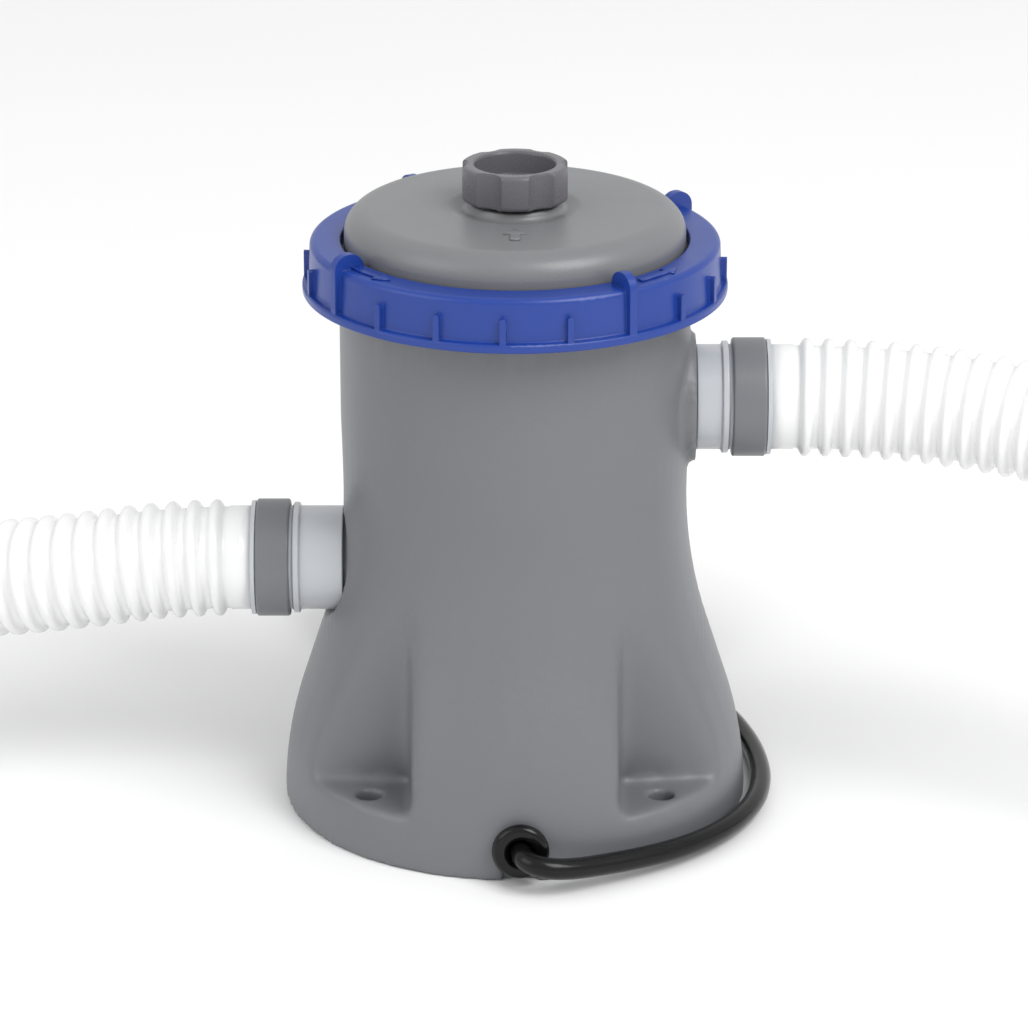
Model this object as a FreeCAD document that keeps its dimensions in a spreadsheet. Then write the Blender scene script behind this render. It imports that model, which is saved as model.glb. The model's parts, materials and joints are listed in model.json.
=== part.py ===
"""Cartridge filter pump for a small above-ground pool, with its two hoses and its mains cord.

Millimetres, +Z up. The origin is the centre of the round base on the floor. The outlet hose leaves
towards -X, low down, the inlet hose towards +X, higher up, and the cord leaves the front, at -Y.
"""
import FreeCAD, Part
import Sketcher
import math
import os
from types import SimpleNamespace

from FreeCAD import Placement, Rotation, Vector

doc = FreeCAD.newDocument("pool_filter_pump")

# ---------------------------------------------------------------- driving dimensions

SIZES = {
    # pump housing, one moulding: flared foot, waist, neck and threaded rim
    "base_radius": 86.5,
    "base_draft": 0.3,
    "foot_height": 23.0,
    "foot_round": 145.0,
    "flare_height": 96.0,
    "flare_round": 175.0,
    "flare_fill": 2.0,
    "waist_radius": 62.6,
    "neck_radius": 64.0,
    "neck_height": 150.0,
    "rim_radius": 66.5,
    "rim_height": 206.5,
    "rim_band": 6.5,
    "rim_slope": 0.8,
    "chamber_radius": 61.0,
    "chamber_foot": 59.6,
    "wall": 3.0,
    # deck between the filter chamber and the pump chamber
    "deck_height": 116.0,
    "deck_opening": 30.0,
    "volute_radius": 33.0,
    "volute_bottom": 73.0,
    # ports and hoses
    "outlet_height": 92.5,
    "inlet_height": 155.6,
    "spigot_radius": 15.8,
    "port_bore": 13.0,
    "hose_bore": 16.0,
    "cuff_radius": 19.3,
    "bead_radius": 20.6,
    "hose_radius": 21.8,
    "hose_wall": 1.2,
    "outlet_collar": 89.5,
    "inlet_collar": 85.5,
    "collar_width": 12.4,
    "cuff_past_collar": 8.0,
    "pad_radius": 23.5,
    "pad_reach": 66.0,
    "pocket_radius": 21.0,
    "pocket_depth": 62.0,
    "pocket_wall": 2.2,
    "pocket_floor": 5.0,
    "outlet_gap": 1.5,
    "bead_before_collar": 8.7,
    "bead_width": 2.0,
    "root_width": 1.5,
    "end_cuff_length": 50.0,
    "end_bead": 12.0,
    # foot recesses with the mounting holes
    "shelf_height": 20.0,
    "scoop_top": 98.0,
    "scoop_side": 37.8,
    "mount_spacing": 107.0,
    "mount_hole": 4.8,
    "mount_tube": 8.0,
    # closing thread: four short helical lugs on the rim and four in the ring
    "thread_lead": 40.0,
    "lug_height": 2.2,
    "lug_gap": 0.35,
    "lug_middle": -3.3,  # from the rim's top
    "lug_depth": 4.2,
    "lug_half_angle": 13.0,
    # lock ring
    "ring_radius": 75.0,
    "ring_wall": 3.7,
    "ring_bottom": -8.5,  # from the rim's top
    "ring_height": 19.0,
    "ring_lip": 4.6,
    "ring_opening": 63.2,
    "ring_edge": 2.2,
    "ring_draft": 0.6,
    "flange_reach": 2.3,
    "flange_height": 3.0,
    "rib_width": 2.4,
    "rib_reach": 1.9,
    "rib_root": 1.5,
    "rib_top": 12.6,
    "grip_width": 3.2,
    "grip_rise": 5.6,
    "grip_length": 12.0,
    # cover and air release
    "seal_thickness": 2.0,
    "cover_radius": 62.0,
    "cover_flange": 70.6,
    "cover_flange_thickness": 3.5,
    "cover_shoulder": 9.0,
    "cover_top": 22.5,  # from the rim's top
    "cover_wall": 2.8,
    "crown": 1.8,
    "hold_radius": 34.0,
    "hold_wall": 2.0,
    "hold_gap": 2.5,
    "skirt_depth": 10.5,
    "dish_radius": 24.0,
    "dish_depth": 1.6,
    "seat_radius": 16.6,
    "seat_rise": 3.0,
    "boss_radius": 8.0,
    "boss_length": 12.0,
    "stem_radius": 4.0,
    "stem_clearance": 0.1,
    "stem_tip": 2.0,
    "clip_thickness": 1.0,
    "clip_depth": 1.0,
    "clip_reach": 2.2,
    "valve_seal_thickness": 1.4,
    "knob_radius": 19.7,
    "knob_height": 13.0,
    "knob_cup_radius": 14.8,
    "knob_cup_depth": 9.5,
    "knob_scallop": 8.0,
    "knob_valley": 17.0,
    "valve_travel": 4.5,
    # filter cartridge
    "cartridge_radius": 40.0,
    "cartridge_height": 90.0,
    "cartridge_hole": 15.0,
    "cap_thickness": 4.0,
    "pleat_outer": 38.4,
    "pleat_inner": 20.0,
    "pleat_sheet": 1.6,
    "core_radius": 17.4,
    "slot_width": 6.0,
    "slot_height": 12.0,
    "slot_pitch": 18.0,
    # impeller cover
    "cover_plate_radius": 40.0,
    "cover_plate": 3.0,
    "plate_screw_inset": 4.0,
    "plate_boss": 3.7,
    "eye_radius": 11.0,
    "eye_wall": 2.8,
    "eye_drop": 13.0,
    "eye_rise": 6.0,
    "bush_radius": 5.0,
    "bush_length": 6.0,
    "bush_shell": 2.0,
    "spider_width": 2.4,
    # rotor
    "shaft_radius": 2.5,
    "shaft_fit": 0.05,
    "shaft_bottom": 22.0,
    "shaft_top": 109.0,
    "impeller_radius": 27.0,
    "impeller_floor": 84.0,
    "impeller_disc": 2.5,
    "vane_height": 12.0,
    "vane_thickness": 2.0,
    "magnet_radius": 13.6,
    "magnet_bottom": 28.0,
    "magnet_height": 34.0,
    "sleeve_radius": 5.0,
    # rotor can
    "can_bore": 15.0,
    "can_wall": 1.6,
    "can_floor": 2.5,
    "can_bottom": 17.0,
    "can_flange": 45.5,
    "can_screw_circle": 40.5,
    "seal_section": 0.9,
    # motor
    "core_bottom": 31.0,
    "stack_height": 28.0,
    "arm_middle": 19.0,
    "arm_width": 13.0,
    "core_front": -15.0,
    "core_back": 60.0,
    "yoke_depth": 13.0,
    "coil_front": 20.0,
    "coil_length": 24.0,
    "coil_overhang": 6.0,
    "coil_gap": 0.2,
    "bobbin_wall": 1.0,
    "flange_thickness": 1.6,
    # base plate, screws and cable entry
    "base_thickness": 3.0,
    "fit_gap": 0.3,
    "screw_circle": 79.5,
    "screw_boss": 5.0,
    "screw_radius": 1.5,
    "head_radius": 3.0,
    "head_height": 2.2,
    "screw_length": 14.0,
    "short_screw": 6.0,
    "boss_cover": 4.0,
    "sink_depth": 2.4,
    "post_radius": 5.0,
    "post_grip": 8.0,
    "clamp_y": -64.0,
    "clamp_width": 24.0,
    "clamp_depth": 8.0,
    "clamp_height": 5.5,
    "clamp_screw": 10.0,
    "clamp_screw_reach": 9.0,
    "terminal_y": -40.0,
    "terminal_width": 22.0,
    "terminal_depth": 14.0,
    "terminal_low": 8.0,
    "terminal_height": 10.0,
    "cable_x": 2.0,
    "cable_height": 13.5,
    "cable_radius": 3.9,
    "cable_face": 87.0,
    "notch_radius": 6.3,
    "notch_margin": 4.0,
    "notch_depth": 12.0,
    "grommet_radius": 10.4,
    "grommet_grip": 2.4,
    "grommet_flange": 1.2,
    "grommet_back": 6.0,
    "grommet_length": 5.0,
    "grommet_mouth": 1.5,
    "grommet_funnel": 3.5,
    # cord put away behind the object, and its plug
    "coil_y": 160.0,
    "coil_middle": 54.0,
    "bundle": 31.2,
    "bundle_round": 7.0,
    "tie_thickness": 1.2,
    "tie_width": 9.0,
    "plug_radius": 18.5,
    "plug_head": 15.0,
    "plug_grip": 26.0,
    "plug_sleeve": 1.7,
    "pin_radius": 2.4,
    "pin_length": 19.0,
    "pin_spacing": 19.0,
}


class Size:
    """A size that carries its number and the sheet expression that gives it."""

    def __init__(self, number, words):
        self.number = number
        self.words = words

    def join(self, other, sign, number, swapped=False):
        theirs = other.words if isinstance(other, Size) else repr(float(other))
        pair = (theirs, self.words) if swapped else (self.words, theirs)
        return Size(number, "(%s %s %s)" % (pair[0], sign, pair[1]))

    def __add__(self, other):
        return self.join(other, "+", self.number + plain(other))

    def __radd__(self, other):
        return self.join(other, "+", plain(other) + self.number, swapped=True)

    def __sub__(self, other):
        return self.join(other, "-", self.number - plain(other))

    def __rsub__(self, other):
        return self.join(other, "-", plain(other) - self.number, swapped=True)

    def __mul__(self, other):
        return self.join(other, "*", self.number * plain(other))

    def __rmul__(self, other):
        return self.join(other, "*", plain(other) * self.number, swapped=True)

    def __truediv__(self, other):
        return self.join(other, "/", self.number / plain(other))

    def __neg__(self):
        return self * -1.0


def plain(value):
    """The number of a size, or the number itself."""
    return value.number if isinstance(value, Size) else float(value)


def make_sheet():
    """Write every driving dimension to the sheet and hand back the named sizes."""
    sheet = doc.addObject("Spreadsheet::Sheet", "sizes")
    named = SimpleNamespace()
    for row, (alias, number) in enumerate(SIZES.items(), start=1):
        sheet.set("A%d" % row, alias)
        sheet.set("B%d" % row, repr(number))
        sheet.setAlias("B%d" % row, alias)
        setattr(named, alias, Size(number, "sizes." + alias))
    doc.recompute()
    return named


size = make_sheet()

# ---------------------------------------------------------------- helpers

PAST = 1.0  # how far a cutting tool runs past a face
SINK = 0.5  # how far a fused piece sinks into its neighbour
NODES = []
AXES = {
    "+Z": Rotation(),
    "-Z": Rotation(Vector(1, 0, 0), 180),
    "+X": Rotation(Vector(0, 1, 0), 90),
    "-X": Rotation(Vector(0, 1, 0), -90),
    "+Y": Rotation(Vector(1, 0, 0), -90),
    "-Y": Rotation(Vector(1, 0, 0), 90),
}


def bind(thing, **values):
    """Set properties, and tie each one that is a size to the sheet."""
    for name, value in values.items():
        setattr(thing, name, plain(value))
        if isinstance(value, Size):
            thing.setExpression(name, value.words)
    return thing


def put(thing, x=0, y=0, z=0, axis="+Z", turn=0):
    """Place an object with its own Z along an axis, turned about the document's Z."""
    spin = Rotation(Vector(0, 0, 1), turn)
    thing.Placement = Placement(Vector(plain(x), plain(y), plain(z)), spin * AXES[axis])
    for letter, value in zip("xyz", (x, y, z), strict=True):
        if isinstance(value, Size):
            thing.setExpression("Placement.Base." + letter, value.words)
    return thing


def node(thing):
    """Mark an object as a finished sub-part that gets its own file."""
    NODES.append(thing)
    return thing


def cylinder(name, radius, height, **place):
    return put(bind(doc.addObject("Part::Cylinder", name), Radius=radius, Height=height), **place)


def box(name, length, width, height, **place):
    block = bind(doc.addObject("Part::Box", name), Length=length, Width=width, Height=height)
    return put(block, **place)


def cylinders(name, spots, radius, height, z=0, axis="+Z"):
    """The same cylinder at several (x, y) spots."""
    return [
        cylinder("%s_%d" % (name, i), radius, height, x=x, y=y, z=z, axis=axis)
        for i, (x, y) in enumerate(spots)
    ]


def torus(name, middle, section, **place):
    return put(bind(doc.addObject("Part::Torus", name), Radius1=middle, Radius2=section), **place)


def fuse(name, *pieces):
    whole = doc.addObject("Part::MultiFuse", name)
    whole.Shapes = list(pieces)
    return whole


def group(name, *pieces):
    """Several separate solids in one sub-part."""
    whole = doc.addObject("Part::Compound", name)
    whole.Links = list(pieces)
    return whole


def cut(name, base, *tools):
    rest = doc.addObject("Part::Cut", name)
    rest.Base = base
    rest.Tool = tools[0] if len(tools) == 1 else fuse(name + "_tools", *tools)
    return rest


def common(name, first, second):
    shared = doc.addObject("Part::Common", name)
    shared.Base = first
    shared.Tool = second
    return shared


def tube(name, outer, inner, height, **place):
    """A plain tube whose bore runs right through."""
    return cut(
        name,
        cylinder(name + "_outside", outer, height, **place),
        cylinder(name + "_bore", inner, height, **place),
    )


def spokes(name, turns, length, width, height, z):
    """Flat bars that run out from the axis, one for each angle."""
    bars = []
    for i, turn in enumerate(turns):
        bar = bind(
            doc.addObject("Part::Box", "%s_%d" % (name, i)), Length=length, Width=width, Height=height
        )
        aside_x = width / 2 * math.sin(math.radians(turn))
        aside_y = width / -2 * math.cos(math.radians(turn))
        bars.append(put(bar, x=aside_x, y=aside_y, z=z, turn=turn))
    return bars


def built(name, shape):
    """An object whose shape comes from Part's own functions."""
    thing = doc.addObject("Part::Feature", name)
    thing.Shape = shape
    return thing


def plane_of(body, role):
    return next(f for f in body.Origin.OriginFeatures if f.Role == role)


def sketch_on(body, role, name, offset=0):
    """A sketch on one of the body's own origin planes, moved along its normal."""
    sketch = body.newObject("Sketcher::SketchObject", name)
    sketch.AttachmentSupport = (plane_of(body, role), "")
    sketch.MapMode = "FlatFace"
    sketch.AttachmentOffset = Placement(Vector(0, 0, plain(offset)), Rotation())
    if isinstance(offset, Size):
        sketch.setExpression("AttachmentOffset.Base.z", offset.words)
    return sketch


def corner_arc(before, corner, after, radius):
    """Where an arc of this radius touches the two sides of a corner, and its centre."""
    back = (before - corner).normalize()
    ahead = (after - corner).normalize()
    half = back.getAngle(ahead) / 2
    reach = radius / math.tan(half)
    middle = corner + (back + ahead).normalize() * (radius / math.sin(half))
    return corner + back * reach, corner + ahead * reach, middle


def tie_point(sketch, geometry, end, across, up):
    """Hold a sketch point at its distances from the sketch's origin."""
    for kind, value, axis in (("DistanceX", across, -2), ("DistanceY", up, -1)):
        if not isinstance(value, Size) and plain(value) == 0:
            sketch.addConstraint(Sketcher.Constraint("PointOnObject", geometry, end, axis))
            continue
        index = sketch.addConstraint(
            Sketcher.Constraint(kind, -1, 1, geometry, end, plain(value))
        )
        if isinstance(value, Size):
            sketch.setExpression("Constraints[%d]" % index, value.words)


def draw_outline(sketch, corners):
    """A closed outline through corners (across, up) or (across, up, rounding), all tied."""
    corners = [tuple(c) + (None,) * (3 - len(c)) for c in corners]
    points = [Vector(plain(c[0]), plain(c[1]), 0) for c in corners]
    count = len(points)
    arcs = {}
    for i, (_, _, rounding) in enumerate(corners):
        if rounding is not None:
            arcs[i] = corner_arc(
                points[i - 1], points[i], points[(i + 1) % count], plain(rounding)
            )
    lines = []
    for i in range(count):
        start = arcs[i][1] if i in arcs else points[i]
        follow = (i + 1) % count
        stop = arcs[follow][0] if follow in arcs else points[follow]
        lines.append(sketch.addGeometry(Part.LineSegment(start, stop), False))
    for i, (across, up, rounding) in enumerate(corners):
        before = lines[i - 1]
        after = lines[i]
        if i not in arcs:
            sketch.addConstraint(Sketcher.Constraint("Coincident", before, 2, after, 1))
            tie_point(sketch, after, 1, across, up)
            continue
        enter, leave, middle = arcs[i]
        bulge = middle + (points[i] - middle).normalize() * plain(rounding)
        arc = sketch.addGeometry(Part.Arc(enter, bulge, leave), False)
        starts_at_entry = sketch.getPoint(arc, 1).distanceToPoint(enter) < 1e-6
        first, last = (1, 2) if starts_at_entry else (2, 1)
        mark = sketch.addGeometry(Part.Point(points[i]), True)
        tie_point(sketch, mark, 1, across, up)
        sketch.addConstraint(Sketcher.Constraint("PointOnObject", mark, 1, before))
        sketch.addConstraint(Sketcher.Constraint("PointOnObject", mark, 1, after))
        sketch.addConstraint(Sketcher.Constraint("Tangent", before, 2, arc, first))
        sketch.addConstraint(Sketcher.Constraint("Tangent", arc, last, after, 1))
        index = sketch.addConstraint(Sketcher.Constraint("Radius", arc, plain(rounding)))
        if isinstance(rounding, Size):
            sketch.setExpression("Constraints[%d]" % index, rounding.words)


def turned(name, corners, **place):
    """A body turned about its own Z from a half section of (radius, height) corners."""
    body = doc.addObject("PartDesign::Body", name)
    sketch = sketch_on(body, "XZ_Plane", name + "_section")
    draw_outline(sketch, corners)
    turn = body.newObject("PartDesign::Revolution", name + "_turn")
    turn.Profile = sketch
    turn.ReferenceAxis = (sketch, ["V_Axis"])
    turn.Angle = 360
    return put(body, **place)


def screw_group(name, places, length, tip_up=True):
    """Pan-head screws at (x, y, z of the head's bearing face), in one sub-part."""
    axis = "+Z" if tip_up else "-Z"
    screws = []
    for i, (x, y, z) in enumerate(places):
        tag = "%s_%d" % (name, i + 1)
        head_z = z - size.head_height if tip_up else z + size.head_height
        shank = cylinder(tag + "_shank", size.screw_radius, length, x=x, y=y, z=z, axis=axis)
        head = cylinder(
            tag + "_head", size.head_radius, size.head_height, x=x, y=y, z=head_z, axis=axis
        )
        screws.append(fuse(tag, shank, head))
    return node(group(name, *screws))


def around(radius, degrees):
    """The x and y of points on a circle, one for each angle."""
    return [
        (radius * math.cos(math.radians(a)), radius * math.sin(math.radians(a))) for a in degrees
    ]


def rounded_path(points):
    """Straight runs joined by tangent arcs, each as large as its two runs allow."""
    spots = [Vector(*p) for p in points]
    edges = []
    start = spots[0]
    radii = []
    for before, corner, after in zip(spots, spots[1:], spots[2:], strict=False):
        back = before - corner
        ahead = after - corner
        half = (math.pi - back.getAngle(ahead)) / 2
        radius = 0.45 * min(back.Length, ahead.Length) / math.tan(half)
        enter, leave, middle = corner_arc(before, corner, after, radius)
        bulge = middle + (corner - middle).normalize() * radius
        edges.append(Part.LineSegment(start, enter).toShape())
        edges.append(Part.Arc(enter, bulge, leave).toShape())
        start = leave
        radii.append(radius)
    edges.append(Part.LineSegment(start, spots[-1]).toShape())
    return Part.Wire(edges), radii


def swept(path, spots, radius):
    """A round bar along a path that starts at the first spot."""
    heading = spots[1] - spots[0]
    circle = Part.Wire(Part.Circle(spots[0], heading, radius).toShape())
    return path.makePipeShell([circle], True, False)


def flexible(name, points, radius, bore=0.0):
    """A cord or hose along hand-chosen route points, solid or with a bore."""
    path, radii = rounded_path(points)
    spots = [Vector(*p) for p in points]
    shape = swept(path, spots, radius)
    section = math.pi * radius**2
    if bore:
        shape = shape.cut(swept(path, spots, bore))
        section -= math.pi * bore**2
    wanted = section * path.Length
    print(
        "%s: %.0f mm long, arc radii %.0f to %.0f mm, volume %.4f of section x length"
        % (name, path.Length, min(radii), max(radii), shape.Volume / wanted)
    )
    return node(built(name, shape))


# ---------------------------------------------------------------- pump housing

MIRRORS = [(-1, -1), (1, -1), (1, 1), (-1, 1)]
LUG_ANGLES = [32.8 + 90 * k for k in range(4)]
BASE_SCREW_ANGLES = (12, 168, 192, 348)
CAN_SCREW_ANGLES = (45, 135, 225, 315)
PLATE_SCREW_ANGLES = (45, 135, 225, 315)

inner_waist = size.waist_radius - size.wall
rim_root = size.rim_height - size.rim_band
deck_bottom = size.deck_height - size.wall
pilot = size.screw_radius + size.shaft_fit
screw_hole = size.screw_radius + size.fit_gap
plate_top = size.deck_height + size.cover_plate
plate_screw_circle = size.cover_plate_radius - size.plate_screw_inset
# the closure is measured from the rim, so that it rises and sinks with it
lug_level = size.rim_height + size.lug_middle
ring_base = size.rim_height + size.ring_bottom
cover_crest = size.rim_height + size.cover_top


def foot_round_in_wall():
    """The round where the flare leaves the foot, no larger than the foot's height allows."""
    foot_top = size.base_radius - size.base_draft
    flare_lean = math.atan2(
        plain(foot_top - size.waist_radius), plain(size.flare_height - size.foot_height)
    )
    foot_lean = math.atan2(plain(size.base_draft), plain(size.foot_height))
    room = plain(size.foot_height) * 0.97 / math.tan((flare_lean - foot_lean) / 2)
    return size.foot_round if plain(size.foot_round) < room else size.foot_round * (
        room / plain(size.foot_round)
    )


foot_round = foot_round_in_wall()


def housing_shell():
    """The turned shell: flared skirt, deck, pump chamber wall and filter chamber."""
    return turned(
        "housing_shell",
        [
            (size.base_radius, 0),
            (size.base_radius - size.base_draft, size.foot_height, foot_round),
            (size.waist_radius, size.flare_height, size.flare_round),
            (size.neck_radius, size.neck_height),
            (size.neck_radius, rim_root - size.rim_slope),
            (size.rim_radius, rim_root + size.rim_slope),
            (size.rim_radius, size.rim_height),
            (size.chamber_radius, size.rim_height),
            (size.chamber_radius, size.neck_height),
            (size.chamber_foot, size.deck_height),
            (size.deck_opening, size.deck_height),
            (size.deck_opening, deck_bottom),
            (size.volute_radius, deck_bottom),
            (size.volute_radius, size.volute_bottom),
            (size.volute_radius + size.wall, size.volute_bottom),
            (size.volute_radius + size.wall, deck_bottom),
            (inner_waist, deck_bottom),
            (inner_waist + size.flare_fill, size.flare_height),
            (
                size.base_radius - size.base_draft - size.wall,
                size.foot_height,
                foot_round - size.wall,
            ),
            (size.base_radius - size.wall, 0),
        ],
    )


def housing_outside():
    """The space inside the housing's outer surface, to trim what is added inside it."""
    return turned(
        "housing_outside",
        [
            (0, 0),
            (size.base_radius, 0),
            (size.base_radius - size.base_draft, size.foot_height, foot_round),
            (size.waist_radius, size.flare_height, size.flare_round),
            (size.neck_radius, size.neck_height),
            (0, size.neck_height),
        ],
    )


def scoop(side, front, skin):
    """The hollow over one mounting hole, or with a skin the solid that backs it."""
    hole = plain(size.mount_spacing) / 2
    edge = plain(size.scoop_side) - skin
    far = plain(size.base_radius) * 1.4

    def outline(z, backs):
        near, turning, end = backs
        spots = [
            (edge, far),
            (edge, near - skin),
            (turning[0], turning[1] - skin),
            (far, end),
            (far, far),
        ]
        return Part.makePolygon([Vector(side * x, front * y, z) for x, y in spots + spots[:1]])

    low = outline(
        plain(size.shelf_height) - skin,
        (hole - 10.0, (hole + 18.5, hole - 14.0), hole - 19.5),
    )
    high = outline(
        plain(size.scoop_top) + skin,
        (hole, (hole - 0.5, hole - 11.5), hole - 51.5),
    )
    return Part.makeLoft([low, high], True, True)


def thread_lug(middle_angle, inner, outer, middle_height):
    """One short helical lug that follows the lead of the closing thread."""
    half_height = plain(size.lug_height) / 2
    sections = []
    for share in (-1.0, -0.5, 0.0, 0.5, 1.0):
        angle = share * plain(size.lug_half_angle)
        rise = plain(size.thread_lead) * angle / 360 + middle_height
        facing = math.radians(middle_angle + angle)
        corners = [
            Vector(r * math.cos(facing), r * math.sin(facing), rise + up)
            for r, up in (
                (inner, -half_height),
                (outer, -half_height),
                (outer, half_height),
                (inner, half_height),
            )
        ]
        sections.append(Part.makePolygon(corners + corners[:1]))
    return Part.makeLoft(sections, True, False)


def all_of(shapes):
    return shapes[0].multiFuse(shapes[1:])


def housing_walls(mounts):
    """The shell with everything that is added to it, before it is cut."""
    skin = plain(size.wall)
    outside = housing_outside()
    backs = built("scoop_backs", all_of([scoop(x, y, skin) for x, y in MIRRORS]))
    mount_tubes = cylinders("mount_tube", mounts, size.mount_tube, size.shelf_height)
    inside = common("inside_backing", fuse("backing", backs, *mount_tubes), outside)
    pad = cylinder(
        "inlet_pad", size.pad_radius, size.pad_reach - inner_waist,
        x=inner_waist, z=size.inlet_height, axis="+X",
    )
    pocket_back = size.pocket_depth - size.pocket_floor
    pocket_rim = common(
        "pocket_backing",
        cylinder(
            "pocket_rim", size.pocket_radius + size.pocket_wall, size.base_radius - pocket_back,
            x=-pocket_back, z=size.outlet_height, axis="-X",
        ),
        outside,
    )
    boss_height = size.screw_length + size.boss_cover
    base_bosses = cylinders(
        "base_boss", around(size.screw_circle, BASE_SCREW_ANGLES), size.screw_boss, boss_height,
        z=size.base_thickness,
    )
    can_bosses = cylinders(
        "can_boss", around(size.can_screw_circle, CAN_SCREW_ANGLES), size.screw_boss, boss_height,
        z=size.volute_bottom,
    )
    plate_bosses = cylinders(
        "plate_boss", around(plate_screw_circle, PLATE_SCREW_ANGLES),
        size.plate_boss, size.short_screw + size.boss_cover, z=size.deck_height, axis="-Z",
    )
    return fuse(
        "housing_walls",
        housing_shell(), inside, pad, pocket_rim, *base_bosses, *can_bosses, *plate_bosses,
    )


def housing_hollows():
    """What is cut from the walls: filter chamber, hose pocket, foot recesses, cable entry."""
    hollows = built("scoop_hollows", all_of([scoop(x, y, 0.0) for x, y in MIRRORS]))
    chamber = cylinder(
        "chamber_space", size.chamber_foot, size.rim_height - size.deck_height, z=size.deck_height
    )
    pocket = cylinder(
        "outlet_pocket", size.pocket_radius, size.base_radius - size.pocket_depth / 2,
        x=-size.pocket_depth, z=size.outlet_height, axis="-X",
    )
    entry_front = size.base_radius + size.notch_margin
    notch = box(
        "cable_notch", size.notch_radius * 2, size.notch_depth, size.cable_height,
        x=size.cable_x - size.notch_radius, y=-entry_front,
    )
    cable_hole = cylinder(
        "cable_hole", size.notch_radius, size.notch_depth,
        x=size.cable_x, y=size.notch_depth - entry_front, z=size.cable_height, axis="-Y",
    )
    return [chamber, pocket, hollows, notch, cable_hole]


def housing_bores(mounts, inlet_end, outlet_end):
    """The port bores, the mounting holes and the screw pilots."""
    inside = size.chamber_radius - size.port_bore
    volute_inside = size.volute_radius - size.port_bore
    bores = [
        cylinder(
            "inlet_bore", size.port_bore, inlet_end - inside + PAST,
            x=inside, z=size.inlet_height, axis="+X",
        ),
        cylinder(
            "outlet_bore", size.port_bore, outlet_end - volute_inside + PAST,
            x=-volute_inside, z=size.outlet_height, axis="-X",
        ),
    ]
    bores += cylinders("mount_bore", mounts, size.mount_hole, size.shelf_height + 2 * PAST, z=-PAST)
    bores += cylinders(
        "base_pilot", around(size.screw_circle, BASE_SCREW_ANGLES), pilot, size.screw_length,
        z=size.base_thickness,
    )
    bores += cylinders(
        "can_pilot", around(size.can_screw_circle, CAN_SCREW_ANGLES), pilot, size.screw_length,
        z=size.volute_bottom,
    )
    bores += cylinders(
        "plate_pilot", around(plate_screw_circle, PLATE_SCREW_ANGLES),
        pilot, size.short_screw + size.boss_cover - PAST, z=size.deck_height, axis="-Z",
    )
    return bores


def pump_housing():
    """The main moulding with its ports, foot recesses, bosses and rim lugs."""
    half = size.mount_spacing / 2
    mounts = [(x * half, y * half) for x, y in MIRRORS]
    opened = cut("housing_opened", housing_walls(mounts), *housing_hollows())
    rim = plain(size.rim_radius)
    lugs = built(
        "rim_lugs",
        Part.makeCompound(
            [
                thread_lug(a, rim - SINK, rim + plain(size.lug_depth), plain(lug_level))
                for a in LUG_ANGLES
            ]
        ),
    )
    inlet_end = size.inlet_collar + size.cuff_past_collar
    outlet_end = size.outlet_collar + size.cuff_past_collar
    inlet_start = size.chamber_radius + SINK
    outlet_start = size.volute_radius + SINK
    inlet = cylinder(
        "inlet_spigot", size.spigot_radius, inlet_end - inlet_start,
        x=inlet_start, z=size.inlet_height, axis="+X",
    )
    outlet = cylinder(
        "outlet_spigot", size.spigot_radius, outlet_end - outlet_start,
        x=-outlet_start, z=size.outlet_height, axis="-X",
    )
    joined = fuse("housing_joined", opened, lugs, inlet, outlet)
    return node(cut("pump_housing", joined, *housing_bores(mounts, inlet_end, outlet_end)))


pump_housing()

# ---------------------------------------------------------------- lock ring

ring_top = ring_base + size.ring_height


def spaced_round(body, feature, count):
    """Repeat a feature evenly about the body's own Z."""
    pattern = body.newObject("PartDesign::PolarPattern", feature.Name + "_pattern")
    pattern.Originals = [feature]
    pattern.Axis = (plane_of(body, "Z_Axis"), [""])
    pattern.Angle = 360
    pattern.Occurrences = count
    body.Tip = pattern


def turn_sketch(body, sketch):
    turn = body.newObject("PartDesign::Revolution", sketch.Name + "_turn")
    turn.Profile = sketch
    turn.ReferenceAxis = (sketch, ["V_Axis"])
    turn.Angle = 360
    return turn


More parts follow.
